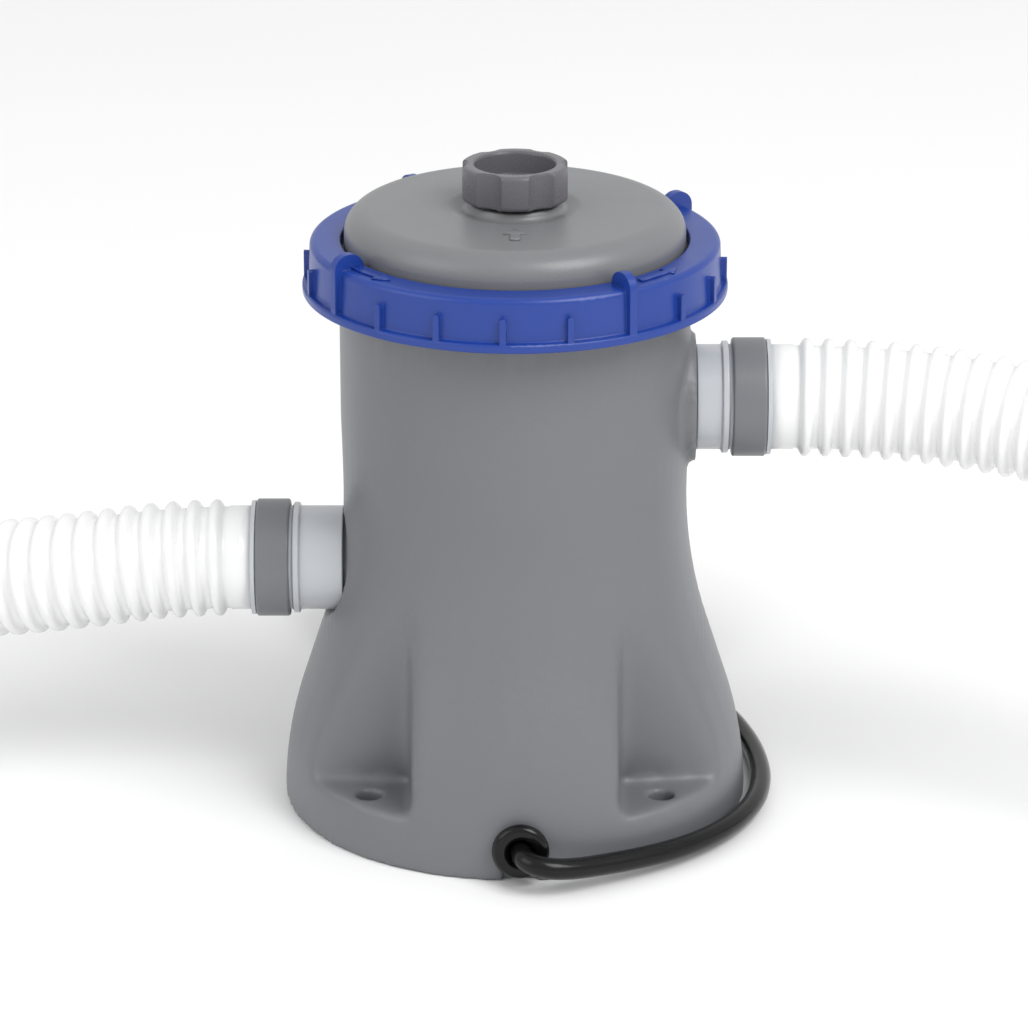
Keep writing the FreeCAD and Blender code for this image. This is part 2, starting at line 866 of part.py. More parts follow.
def lock_ring():
    """The screw ring: skirt, lip, 20 grip ribs, four raised fins, and four thread lugs."""
    body = doc.addObject("PartDesign::Body", "ring_moulding")
    bore = size.ring_radius - size.ring_wall
    flange = size.ring_radius + size.flange_reach
    section = sketch_on(body, "XZ_Plane", "ring_section")
    draw_outline(
        section,
        [
            (bore, ring_base),
            (flange, ring_base, 0.6),
            (flange, ring_base + size.flange_height, 0.8),
            (size.ring_radius, ring_base + size.flange_height + 0.5, 0.6),
            (size.ring_radius - size.ring_draft, ring_top, size.ring_edge),
            (size.ring_opening, ring_top, 0.7),
            (size.ring_opening, ring_top - size.ring_lip),
            (bore, ring_top - size.ring_lip),
        ],
    )
    turn_sketch(body, section)
    rib_face = sketch_on(body, "XZ_Plane", "rib_outline", offset=size.ring_radius - size.rib_root)
    half = size.rib_width / 2
    rib_bottom = ring_base + PAST
    rib_round = half * 0.98
    draw_outline(
        rib_face,
        [
            (-half, rib_bottom),
            (half, rib_bottom),
            (half, ring_base + size.rib_top, rib_round),
            (-half, ring_base + size.rib_top, rib_round),
        ],
    )
    rib = body.newObject("PartDesign::Pad", "rib")
    rib.Profile = rib_face
    bind(rib, Length=size.rib_reach + size.rib_root)
    spaced_round(body, rib, 20)
    fin_face = sketch_on(body, "YZ_Plane", "grip_outline", offset=-size.grip_width / 2)
    outer = size.ring_radius + size.rib_reach
    inner = outer - size.grip_length
    root = size.ring_radius - size.rib_root
    fin_top = ring_top + size.grip_rise
    fin_round = size.grip_length * 0.47
    draw_outline(
        fin_face,
        [
            (-outer, rib_bottom),
            (-outer, fin_top, fin_round),
            (-inner, fin_top, fin_round),
            (-inner, ring_top - PAST),
            (-root, ring_top - PAST),
            (-root, rib_bottom),
        ],
    )
    fin = body.newObject("PartDesign::Pad", "grip_fin")
    fin.Profile = fin_face
    bind(fin, Length=size.grip_width)
    spaced_round(body, fin, 4)
    put(body, turn=LUG_ANGLES[0])
    skirt = plain(bore)
    middle = plain(lug_level) - plain(size.lug_height) - plain(size.lug_gap)
    lugs = built(
        "ring_lugs",
        Part.makeCompound(
            [
                thread_lug(a, skirt - plain(size.lug_depth), skirt + SINK, middle)
                for a in LUG_ANGLES
            ]
        ),
    )
    return node(fuse("lock_ring", body, lugs))


lock_ring()

# ---------------------------------------------------------------- cover and air release

flange_bottom = size.rim_height + size.seal_thickness
flange_top = flange_bottom + size.cover_flange_thickness
seat_top = cover_crest - size.dish_depth + size.seat_rise
knob_bottom = seat_top + size.valve_seal_thickness
knob_top = knob_bottom + size.knob_height
boss_bottom = seat_top - size.boss_length
stem_hole = size.stem_radius + size.stem_clearance
cartridge_bottom = plate_top + size.fit_gap
cartridge_top = cartridge_bottom + size.cartridge_height


def cover_parts():
    """The domed cover with the rim that holds the cartridge down, and its two seals."""
    spigot = size.chamber_radius - size.fit_gap
    spigot_bottom = flange_bottom - size.skirt_depth
    ceiling = cover_crest - size.cover_wall
    edge_drop = size.crown / 2
    hold_bottom = cartridge_top + size.hold_gap
    node(
        turned(
            "top_cover",
            [
                (spigot - size.cover_wall, spigot_bottom),
                (spigot, spigot_bottom),
                (spigot, flange_bottom),
                (size.cover_flange, flange_bottom),
                (size.cover_flange, flange_top),
                (size.cover_radius, flange_top),
                (size.cover_radius, cover_crest - edge_drop, size.cover_shoulder),
                (size.dish_radius, cover_crest, 6.0),
                (size.seat_radius + 1.2, cover_crest - size.dish_depth, 2.0),
                (size.seat_radius, seat_top, 0.8),
                (stem_hole, seat_top),
                (stem_hole, boss_bottom),
                (size.boss_radius, boss_bottom),
                (size.boss_radius, ceiling - size.dish_depth),
                (size.dish_radius, ceiling - edge_drop),
                (size.hold_radius, ceiling - edge_drop),
                (size.hold_radius, hold_bottom),
                (size.hold_radius + size.hold_wall, hold_bottom),
                (size.hold_radius + size.hold_wall, ceiling - edge_drop),
                (
                    spigot - size.cover_wall,
                    ceiling - size.crown,
                    size.cover_shoulder - size.cover_wall,
                ),
            ],
        )
    )
    inset = size.fit_gap
    node(
        tube(
            "cover_seal", size.rim_radius - inset, size.chamber_radius + inset,
            size.seal_thickness, z=size.rim_height,
        )
    )
    node(
        tube(
            "air_valve_seal", size.boss_radius, stem_hole, size.valve_seal_thickness, z=seat_top
        )
    )


def air_release():
    """The lobed knob with its stem, and the clip that keeps the stem in the cover."""
    clip_top = boss_bottom - size.valve_travel - size.fit_gap
    clip_bottom = clip_top - size.clip_thickness
    groove_radius = size.stem_radius - size.clip_depth
    knob = doc.addObject("PartDesign::Body", "air_release_knob")
    section = sketch_on(knob, "XZ_Plane", "knob_section")
    draw_outline(
        section,
        [
            (0, clip_bottom - size.stem_tip),
            (size.stem_radius, clip_bottom - size.stem_tip),
            (size.stem_radius, clip_bottom),
            (groove_radius, clip_bottom),
            (groove_radius, clip_top),
            (size.stem_radius, clip_top),
            (size.stem_radius, knob_bottom),
            (size.knob_radius, knob_bottom, 1.6),
            (size.knob_radius, knob_top, 1.6),
            (size.knob_cup_radius, knob_top, 1.0),
            (size.knob_cup_radius - 1.0, knob_top - size.knob_cup_depth, 2.0),
            (0, knob_top - size.knob_cup_depth),
        ],
    )
    turn = turn_sketch(knob, section)
    doc.recompute()
    hollow_middle = size.knob_valley + size.knob_scallop
    outline = sketch_on(knob, "XY_Plane", "scallop_circle", offset=knob_bottom - PAST)
    centre = Vector(0, plain(hollow_middle), 0)
    outline.addGeometry(Part.Circle(centre, Vector(0, 0, 1), plain(size.knob_scallop)), False)
    outline.addConstraint(Sketcher.Constraint("PointOnObject", 0, 3, -2))
    for kind, ends, value in (
        ("DistanceY", (-1, 1, 0, 3), hollow_middle),
        ("Radius", (0,), size.knob_scallop),
    ):
        index = outline.addConstraint(Sketcher.Constraint(kind, *ends, plain(value)))
        outline.setExpression("Constraints[%d]" % index, value.words)
    groove = knob.newObject("PartDesign::Pocket", "scallop")
    groove.Profile = outline
    groove.Reversed = True
    bind(groove, Length=size.knob_height + 2 * PAST)
    doc.recompute()
    spaced_round(knob, groove, 6)
    put(knob, turn=30)
    doc.recompute()
    if groove.Shape.Volume >= turn.Shape.Volume:
        raise RuntimeError("the knob's scallops cut nothing")
    node(knob)
    node(
        tube(
            "stem_clip", size.stem_radius + size.clip_reach, groove_radius + size.shaft_fit,
            size.clip_thickness - size.shaft_fit, z=clip_bottom,
        )
    )


cover_parts()
air_release()

# ---------------------------------------------------------------- filter cartridge


def star(outer, inner, count, z):
    """A zigzag outline with its ridges on two circles."""
    spots = []
    for k in range(2 * count):
        radius = outer if k % 2 == 0 else inner
        angle = math.pi * k / count
        spots.append(Vector(radius * math.cos(angle), radius * math.sin(angle), z))
    return Part.Face(Part.makePolygon(spots + spots[:1]))


def cartridge():
    """A paper cartridge: pleats between two end caps, round a slotted core."""
    pleat_bottom = cartridge_bottom + size.cap_thickness
    pleat_height = size.cartridge_height - 2 * size.cap_thickness
    caps = (
        ("cartridge_bottom_cap", cartridge_bottom),
        ("cartridge_top_cap", pleat_bottom + pleat_height),
    )
    for name, z in caps:
        node(tube(name, size.cartridge_radius, size.cartridge_hole, size.cap_thickness, z=z))
    pleats = 40
    outer_ridge = plain(size.pleat_outer)
    inner_ridge = plain(size.pleat_inner)
    sheet = plain(size.pleat_sheet)
    floor = plain(pleat_bottom)
    outside = star(outer_ridge, inner_ridge, pleats, floor)
    inside = star(outer_ridge - 3 * sheet, inner_ridge - sheet, pleats, floor)
    band = outside.cut(inside)
    node(built("cartridge_pleats", band.extrude(Vector(0, 0, plain(pleat_height)))))
    half_length = size.core_radius * 1.5
    half_width = size.slot_width / 2
    slots = []
    for row in range(4):
        for turn in range(0, 180, 45):
            along = math.cos(math.radians(turn))
            across = math.sin(math.radians(turn))
            slots.append(
                box(
                    "core_slot_%d_%d" % (row, turn),
                    half_length * 2, size.slot_width, size.slot_height,
                    x=half_width * across - half_length * along,
                    y=-(half_length * across) - half_width * along,
                    z=pleat_bottom + size.slot_width + size.slot_pitch * row,
                    turn=turn,
                )
            )
    core = tube("core_tube", size.core_radius, size.cartridge_hole, pleat_height, z=pleat_bottom)
    node(cut("cartridge_core", core, *slots))


cartridge()

# ---------------------------------------------------------------- impeller cover and rotor


def impeller_cover():
    """The plate over the pump chamber: an eye tube with a spider that holds the upper bush."""
    plate = cylinder("plate_disc", size.cover_plate_radius, size.cover_plate, z=size.deck_height)
    eye_bottom = size.deck_height - size.eye_drop
    eye_length = size.eye_drop + size.cover_plate + size.eye_rise
    eye_wall = cylinder(
        "eye_wall", size.eye_radius + size.eye_wall, eye_length, z=eye_bottom
    )
    through = cylinder("eye_space", size.eye_radius, eye_length + 2 * PAST, z=eye_bottom - PAST)
    ring = cut("eye_ring", fuse("eye_and_plate", plate, eye_wall), through)
    cup_bottom = eye_bottom + PAST
    cup_height = size.bush_length + size.bush_shell
    cup = cylinder("bush_cup", size.bush_radius + size.bush_shell, cup_height, z=cup_bottom)
    arms = spokes(
        "spider_arm", (30, 150, 270), size.eye_radius + SINK, size.spider_width, cup_height,
        cup_bottom,
    )
    seat = cylinder("bush_seat", size.bush_radius, size.bush_length, z=cup_bottom)
    vent = cylinder(
        "bush_vent", size.shaft_radius + SINK, cup_height + 2 * PAST, z=cup_bottom - PAST
    )
    spots = around(plate_screw_circle, PLATE_SCREW_ANGLES)
    sink_floor = plate_top - size.head_height
    holes = cylinders(
        "plate_hole", spots, screw_hole, size.cover_plate + 2 * PAST, z=size.deck_height - PAST
    )
    sinks = cylinders(
        "plate_sink", spots, size.head_radius + size.fit_gap, size.head_height + PAST, z=sink_floor
    )
    solid = fuse("plate_and_spider", ring, cup, *arms)
    node(cut("impeller_cover", solid, seat, vent, *holes, *sinks))
    node(
        tube(
            "upper_bush", size.bush_radius, size.shaft_radius + size.shaft_fit, size.bush_length,
            z=cup_bottom,
        )
    )
    places = [(x, y, sink_floor) for x, y in spots]
    screw_group("impeller_cover_screws", places, size.short_screw, tip_up=False)


def rotor():
    """Impeller with its magnet sleeve, the ring magnet and the ceramic shaft."""
    sleeve = cylinder(
        "impeller_sleeve", size.sleeve_radius, size.impeller_floor - size.magnet_bottom,
        z=size.magnet_bottom,
    )
    disc = cylinder(
        "impeller_disc", size.impeller_radius, size.impeller_disc, z=size.impeller_floor
    )
    hub = cylinder(
        "impeller_hub", size.sleeve_radius + PAST,
        size.impeller_disc + size.vane_height + 2 * PAST, z=size.impeller_floor,
    )
    vanes = spokes(
        "impeller_vane", range(0, 360, 60), size.impeller_radius - PAST, size.vane_thickness,
        size.vane_height, size.impeller_floor + size.impeller_disc,
    )
    solid = fuse("impeller_solid", sleeve, disc, hub, *vanes)
    hole = cylinder(
        "impeller_bore", size.shaft_radius + size.shaft_fit,
        size.shaft_top - size.magnet_bottom + PAST, z=size.magnet_bottom - PAST,
    )
    node(cut("impeller", solid, hole))
    node(
        tube(
            "rotor_magnet", size.magnet_radius, size.sleeve_radius + size.shaft_fit,
            size.magnet_height, z=size.magnet_bottom,
        )
    )
    shaft_length = size.shaft_top - size.shaft_bottom
    node(cylinder("rotor_shaft", size.shaft_radius, shaft_length, z=size.shaft_bottom))


def rotor_can():
    """The plastic well that keeps the water away from the motor's coils."""
    outer = size.can_bore + size.can_wall
    floor = size.can_bottom + size.can_floor
    flange_low = size.volute_bottom - size.wall
    seal_middle = size.volute_radius + size.wall / 2
    groove = size.seal_section + size.fit_gap * 0.7
    groove_floor = size.volute_bottom - 2 * size.seal_section
    bush_seat = size.bush_radius + size.shaft_fit
    well = turned(
        "can_well",
        [
            (0, size.can_bottom),
            (outer, size.can_bottom, 2.0),
            (outer, flange_low),
            (size.can_flange, flange_low),
            (size.can_flange, size.volute_bottom),
            (seal_middle + groove, size.volute_bottom),
            (seal_middle + groove, groove_floor),
            (seal_middle - groove, groove_floor),
            (seal_middle - groove, size.volute_bottom),
            (size.can_bore, size.volute_bottom),
            (size.can_bore, floor + size.bush_length),
            (bush_seat, floor + size.bush_length),
            (bush_seat, floor),
            (0, floor),
        ],
    )
    spots = around(size.can_screw_circle, CAN_SCREW_ANGLES)
    holes = cylinders(
        "can_hole", spots, screw_hole, size.wall + 2 * PAST, z=flange_low - PAST
    )
    node(cut("rotor_can", well, *holes))
    node(torus("can_seal", seal_middle, size.seal_section, z=size.volute_bottom - size.seal_section))
    node(
        tube(
            "lower_bush", size.bush_radius, size.shaft_radius + size.shaft_fit, size.bush_length,
            z=floor,
        )
    )
    screw_group("can_screws", [(x, y, flange_low) for x, y in spots], size.screw_length)


impeller_cover()
rotor()
rotor_can()

# ---------------------------------------------------------------- motor

stack_top = size.core_bottom + size.stack_height


def block_round_leg(name, middle, reach, length, start):
    """A block that stands out from one core leg by the same reach all round."""
    half = size.arm_width / 2
    return box(
        name, 2 * (half + reach), length, size.stack_height + 2 * reach,
        x=middle - half - reach, y=start, z=size.core_bottom - reach,
    )


def coil_on_leg(tag, middle):
    """One bobbin with its two flanges, and the winding between them."""
    slack = size.coil_gap
    over = size.coil_overhang
    flange = size.flange_thickness
    tunnel_length = size.coil_length + 4 * PAST
    tunnel_start = size.coil_front - 2 * PAST
    sleeve_reach = slack + size.bobbin_wall
    back_start = size.coil_front + size.coil_length - flange
    tunnel = block_round_leg("bobbin_tunnel" + tag, middle, slack, tunnel_length, tunnel_start)
    sleeve = block_round_leg(
        "bobbin_sleeve" + tag, middle, sleeve_reach, size.coil_length, size.coil_front
    )
    front = block_round_leg("bobbin_front" + tag, middle, over, flange, size.coil_front)
    back = block_round_leg("bobbin_back" + tag, middle, over, flange, back_start)
    bobbin = cut("bobbin" + tag, fuse("bobbin_solid" + tag, sleeve, front, back), tunnel)
    wire_length = size.coil_length - 2 * (flange + slack)
    wire_start = size.coil_front + flange + slack
    wound = block_round_leg("winding_block" + tag, middle, over - 3 * slack, wire_length, wire_start)
    wire_tunnel = block_round_leg(
        "winding_tunnel" + tag, middle, sleeve_reach + slack, tunnel_length, tunnel_start
    )
    return bobbin, cut("winding" + tag, wound, wire_tunnel)


def motor(screw_spots):
    """A two-pole stator: a U of laminations round the can, with a coil on each leg."""
    half = size.arm_width / 2
    legs = [
        box(
            "core_leg_%d" % i, size.arm_width, size.core_back - size.core_front, size.stack_height,
            x=side * size.arm_middle - half, y=size.core_front, z=size.core_bottom,
        )
        for i, side in enumerate((-1, 1))
    ]
    width = 2 * size.arm_middle + size.arm_width
    yoke = box(
        "core_yoke", width, size.yoke_depth, size.stack_height,
        x=width / -2, y=size.core_back - size.yoke_depth, z=size.core_bottom,
    )
    through = size.stack_height + 2 * PAST
    can_space = cylinder(
        "core_bore", size.can_bore + size.can_wall + size.fit_gap, through,
        z=size.core_bottom - PAST,
    )
    holes = cylinders("core_hole", screw_spots, screw_hole, through, z=size.core_bottom - PAST)
    node(cut("stator_core", fuse("core_stack", *legs, yoke), can_space, *holes))
    left, right = (
        coil_on_leg("_%d" % i, side * size.arm_middle) for i, side in enumerate((-1, 1))
    )
    node(group("coil_bobbins", left[0], right[0]))
    node(group("coil_windings", left[1], right[1]))
    screw_group(
        "stator_screws", [(x, y, stack_top) for x, y in screw_spots],
        size.stack_height + size.post_grip, tip_up=False,
    )


STATOR_SCREW_SPOTS = [
    (side * size.arm_middle, size.core_back - size.yoke_depth / 2) for side in (-1, 1)
]
motor(STATOR_SCREW_SPOTS)

# ---------------------------------------------------------------- base plate and cable entry

clamp_spots = [(size.cable_x + x * size.clamp_screw_reach, size.clamp_y) for x in (-1, 1)]
terminal_front = size.terminal_y - size.terminal_depth / 2


def base_plate():
    """The bottom plate with its stator posts, cable saddle and terminal post."""
    plate = cylinder(
        "plate_round", size.base_radius - size.wall - size.fit_gap, size.base_thickness
    )
    posts = cylinders("stator_post", STATOR_SCREW_SPOTS, size.post_radius, size.core_bottom)
    front_spots = [
        (side * size.arm_middle, size.core_front + size.post_radius) for side in (-1, 1)
    ]
    posts += cylinders("front_post", front_spots, size.post_radius - SINK, size.core_bottom)
    saddle = box(
        "cable_saddle", size.clamp_width + 2 * PAST, size.clamp_depth + PAST,
        size.cable_height - size.cable_radius + 2 * PAST,
        x=size.cable_x - size.clamp_width / 2 - PAST,
        y=size.clamp_y - (size.clamp_depth + PAST) / 2,
    )
    terminal_post = box(
        "terminal_post", size.terminal_width, size.terminal_depth, size.terminal_low,
        x=size.cable_x - size.terminal_width / 2, y=terminal_front,
    )
    solid = fuse("plate_solid", plate, *posts, saddle, terminal_post)
    post_hole = size.post_grip + 2 * PAST
    tools = cylinders(
        "post_pilot", STATOR_SCREW_SPOTS, pilot, post_hole, z=size.core_bottom - post_hole + PAST
    )
    half = size.mount_spacing / 2
    tools += cylinders(
        "tube_hole", [(x * half, y * half) for x, y in MIRRORS],
        size.mount_tube + size.fit_gap, size.base_thickness + 2 * PAST, z=-PAST,
    )
    base_spots = around(size.screw_circle, BASE_SCREW_ANGLES)
    tools += cylinders(
        "base_hole", base_spots, screw_hole, size.base_thickness + 2 * PAST, z=-PAST
    )
    tools += cylinders(
        "base_sink", base_spots, size.head_radius + size.fit_gap, size.sink_depth + PAST, z=-PAST
    )
    tools.append(cable_channel("saddle_groove"))
    tools += cylinders(
        "clamp_pilot", clamp_spots, pilot, size.clamp_screw, z=size.cable_height - size.clamp_screw
    )
    node(cut("base_plate", solid, *tools))
    places = [(x, y, size.sink_depth) for x, y in base_spots]
    screw_group("base_screws", places, size.screw_length)


def cable_channel(name):
    """The room that the cable takes through its saddle and its clamp."""
    return cylinder(
        name, size.cable_radius, 2 * size.clamp_depth,
        x=size.cable_x, y=size.clamp_y - size.clamp_depth, z=size.cable_height, axis="+Y",
    )


def cable_entry():
    """The clamp, terminal block, rubber grommet and the lead between them."""
    clamp_bottom = size.cable_height + PAST
    bar = box(
        "clamp_block", size.clamp_width, size.clamp_depth, size.clamp_height,
        x=size.cable_x - size.clamp_width / 2, y=size.clamp_y - size.clamp_depth / 2,
        z=clamp_bottom,
    )
    holes = cylinders(
        "clamp_hole", clamp_spots, screw_hole, size.clamp_height + 2 * PAST, z=size.cable_height
    )
    node(cut("cable_clamp", bar, cable_channel("clamp_groove"), *holes))
    clamp_top = clamp_bottom + size.clamp_height
    screw_group(
        "clamp_screws", [(x, y, clamp_top) for x, y in clamp_spots],
        size.clamp_screw + 2 * PAST, tip_up=False,
    )
    node(
        box(
            "terminal_block", size.terminal_width - 2 * PAST, size.terminal_depth - 2 * PAST,
            size.terminal_height, x=size.cable_x - size.terminal_width / 2 + PAST,
            y=terminal_front + PAST, z=size.terminal_low,
        )
    )
    collar = size.notch_radius + size.grommet_grip
    neck = size.notch_radius - size.fit_gap / 2
    bell = size.grommet_back + size.grommet_length
    node(
        turned(
            "cable_grommet",
            [
                (size.cable_radius, 0),
                (collar, 0),
                (collar, size.grommet_flange),
                (neck, size.grommet_flange),
                (neck, size.grommet_back),
                (size.grommet_radius, size.grommet_back, 2.3),
                (size.grommet_radius, bell, 2.4),
                (size.cable_radius + size.grommet_mouth, bell, 2.2),
                (size.cable_radius, bell - size.grommet_funnel),
            ],
            x=size.cable_x, y=-(size.cable_face - size.grommet_back), z=size.cable_height,
            axis="-Y",
        )
    )
    node(
        cylinder(
            "inner_lead", size.cable_radius, size.cable_face + terminal_front + PAST,
            x=size.cable_x, y=-size.cable_face, z=size.cable_height, axis="+Y",
        )
    )


base_plate()
cable_entry()

# ---------------------------------------------------------------- hoses

cuff_root = size.hose_radius - size.hose_wall / 2


def hose_end(prefix, side, height, collar, start):
    """The smooth cuff that sits on a spigot, and the collar pressed over it."""
    axis = "+X" if side > 0 else "-X"
    length = collar + size.cuff_past_collar - start
    bead = collar - size.bead_before_collar - start
    half_bead = size.bead_width / 2
    node(
        turned(
            prefix + "_hose_cuff",
            [
                (size.hose_bore, 0),
                (size.cuff_radius, 0, 0.5),
                (size.cuff_radius, bead - half_bead - 0.5, 0.4),
                (size.bead_radius, bead - half_bead, 0.5),
                (size.bead_radius, bead + half_bead, 0.5),
                (size.cuff_radius, bead + half_bead + 0.5, 0.4),
                (size.cuff_radius, length - size.root_width),
                (cuff_root, length - size.root_width),
                (cuff_root, length),
                (size.hose_bore, length),
            ],
            x=side * start, z=height, axis=axis,
        )
    )
    half = size.collar_width / 2
    collar_bore = size.cuff_radius + size.shaft_fit
    node(
        turned(
            prefix + "_hose_collar",
            [
                (collar_bore, -half),
                (size.hose_radius, -half, 0.9),
                (size.hose_radius, half, 0.9),
                (collar_bore, half),
            ],
            x=side * collar, z=height, axis=axis,
        )
    )


hose_end("inlet", 1, size.inlet_height, size.inlet_collar, size.pad_reach + size.fit_gap)
hose_end("outlet", -1, size.outlet_height, size.outlet_collar, size.pocket_depth + size.outlet_gap)

# Routes of the hoses and the cord, in millimetres. Each hose leaves its collar, sinks to the floor
# and lies there in one wide loop that ends beside the pump.
INLET_ROUTE = [
    (93.5, 0, 155.6),
    (120, 0, 155.6),
    (166, -6, 155),
    (212, -22, 153),
    (256, -49, 148),
    (296, -87, 139),
    (336, -133, 125),
    (390, -172, 104),
    (462, -195, 80),
    (538, -189, 58),
    (606, -153, 42),
    (655, -95, 31),
    (677, -22, 25),
    (669, 54, 22.5),
    (633, 122, 22),
    (574, 172, 22),
    (500, 194, 22),
    (424, 188, 22),
    (356, 153, 22),
    (308, 95, 22),
    (284, 36, 22),
]
OUTLET_ROUTE = [
    (-97.5, 0, 92.5),
    (-124, 0, 92.5),
    (-168, 6, 89.5),
    (-214, 22, 83.5),
    (-258, 49, 75),
    (-298, 87, 65),
    (-338, 133, 53),
    (-392, 172, 40),
    (-464, 195, 30),
    (-540, 189, 24),
    (-608, 153, 22),
    (-657, 95, 22),
    (-679, 22, 22),
    (-671, -54, 22),
    (-635, -122, 22),
    (-576, -172, 22),
    (-502, -194, 22),
    (-426, -188, 22),
    (-358, -153, 22),
    (-310, -95, 22),
    (-286, -36, 22),
]
CORD_ROUTE = [
    (2, -87, 13.5),
    (2, -94, 13.4),
    (6, -98.9, 12.6),
    (13, -99.8, 11.2),
    (21, -96.5, 9.8),
    (31, -90.5, 8.6),
    (45, -82.5, 7.6),
    (60, -72, 6.8),
    (73, -58.5, 6.1),
    (83, -43, 5.6),
    (90, -25, 5.1),
    (93, -5, 4.7),
    (92.5, 15, 4.4),
    (89.5, 35, 4.1),
    (84, 55, 4.0),
    (76.5, 74, 4.0),
    (69.5, 92, 4.0),
    (64.5, 110, 4.0),
    (62.5, 125, 4.0),
    (62.5, 135, 4.0),
]
CORD_TAIL_ROUTE = [
    (54, 130, 27.3),
    (57.5, 147, 31.5),
    (58, 165, 38),
    (53, 181, 44.5),
    (42.5, 193, 48.8),
    (28, 199.5, 49.8),
    (15, 202, 49.8),
]


def far_cuff(name, route):
    """The hose's other smooth cuff, lying in line with the last run of its route."""
    last = Vector(*route[-1])
    heading = (last - Vector(*route[-2])).normalize()
    bead = size.end_cuff_length - size.end_bead
    half_bead = size.bead_width / 2
    cuff = turned(
        name,
        [
            (size.hose_bore, 0),
            (cuff_root, 0),
            (cuff_root, size.root_width),
            (size.cuff_radius, size.root_width),
            (size.cuff_radius, bead - half_bead - 0.5, 0.4),
            (size.bead_radius, bead - half_bead, 0.5),
            (size.bead_radius, bead + half_bead, 0.5),
            (size.cuff_radius, bead + half_bead + 0.5, 0.4),
            (size.cuff_radius, size.end_cuff_length, 0.5),
            (size.hose_bore, size.end_cuff_length),
        ],
    )
    cuff.Placement = Placement(last, Rotation(Vector(0, 0, 1), heading))
    return node(cuff)


def hoses():
    """Both ribbed hoses as plain tubes of their outside size, and their far cuffs."""
    bore = plain(size.hose_radius) - plain(size.hose_wall)
    for prefix, route in (("inlet", INLET_ROUTE), ("outlet", OUTLET_ROUTE)):
        flexible(prefix + "_hose", route, plain(size.hose_radius), bore)
        far_cuff(prefix + "_hose_end", route)


# ---------------------------------------------------------------- cord, its coil and its plug


def cord_coil():
    """The turns of cord put away behind the pump, and the strap that ties them."""
    half = size.bundle / 2
    outer = size.coil_middle + half
    inner = size.coil_middle - half
    rounding = size.bundle_round
    ring = turned(
        "coil_ring",
        [
            (inner, 0, rounding),
            (outer, 0, rounding),
            (outer, size.bundle, rounding),
            (inner, size.bundle, rounding),
        ],
        y=size.coil_y,
    )
    strap = size.tie_thickness
    proud = strap / 2
    across = size.bundle + 2 * proud
    up = size.bundle + proud
    tie_x = -(outer + proud)
    tie = cut(
        "cord_tie",
        box("tie_outside", across, size.tie_width, up, x=tie_x, y=size.coil_y - size.tie_width / 2),
        box(
            "tie_inside", across - 2 * strap, size.tie_width + 2 * PAST, up - 2 * strap,
            x=tie_x + strap, y=size.coil_y - size.tie_width / 2 - PAST, z=strap,
        ),
    )
    node(tie)
    node(cut("cord_coil", ring, tie))


def plug():
    """The mains plug, lying on the coil in line with the cord's last run."""
    rear = Vector(*CORD_TAIL_ROUTE[-1])
    heading = (rear - Vector(*CORD_TAIL_ROUTE[-2])).normalize()
    turn = Rotation(Vector(0, 0, 1), heading)
    body_length = size.plug_grip + size.plug_head
    body = turned(
        "plug_body",
        [
            (0, 0),
            (size.cable_radius + size.plug_sleeve, 0, 1.0),
            (size.cable_radius + 2 * size.plug_sleeve, size.plug_grip / 2, 12.0),
            (size.plug_radius * 0.7, size.plug_grip, 4.0),
            (size.plug_radius, size.plug_grip, 2.0),
            (size.plug_radius, body_length, 2.0),
            (0, body_length),
        ],
    )
    body.Placement = Placement(rear, turn)
    node(body)
    pins = [
        cylinder("plug_pin_%d" % i, size.pin_radius, size.pin_length)
        for i in range(2)
    ]
    for pin, side in zip(pins, (-1, 1), strict=True):
        aside = Vector(0, side * plain(size.pin_spacing) / 2, plain(body_length))
        pin.Placement = Placement(rear + turn.multVec(aside), turn)
    node(group("plug_pins", *pins))


hoses()
flexible("power_cord", CORD_ROUTE, plain(size.cable_radius))
flexible("power_cord_tail", CORD_TAIL_ROUTE, plain(size.cable_radius))
cord_coil()
plug()

# ---------------------------------------------------------------- checks and files


def check_document():
    """Stop if any object failed, or if a sub-part has no valid shape."""
    failed = [o.Name for o in doc.Objects if {"Invalid", "Error"} & set(o.State)]
    if failed:
        raise RuntimeError("failed objects: " + ", ".join(failed))
    for part in NODES:
        if part.Shape.isNull() or not part.Shape.isValid() or part.Shape.Volume <= 0:
            raise RuntimeError(part.Name + " has no valid shape")


def write_parts():
    """Write each sub-part to a file that carries its name."""
    os.makedirs("parts", exist_ok=True)
    for part in NODES:
        part.Label = part.Name
        part.Shape.exportStep("parts/" + part.Label + ".step")
        solids = len(part.Shape.Solids)
        print("%-24s %2d solid(s) %9.0f mm3" % (part.Label, solids, part.Shape.Volume))


doc.recompute()
check_document()
write_parts()
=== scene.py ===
# %% [markdown]
# # A small pool's filter pump
#
# The pump is a flared grey moulding that holds a paper cartridge above a magnet-driven
# impeller. A blue screw ring closes it, and two ribbed hoses and a mains cord leave it.
# The exact solids come from the CAD model as a fixed frame. This lesson gives them their
# finishes, and makes again the few pieces whose looks need softer or finer shapes: the
# moulding with its pressed-in feet, both ribbed hoses, and the cord with its turns.

# %% Load the frame
import bisect
import json
import math

import bmesh
import bpy
from mathutils import Matrix, Vector


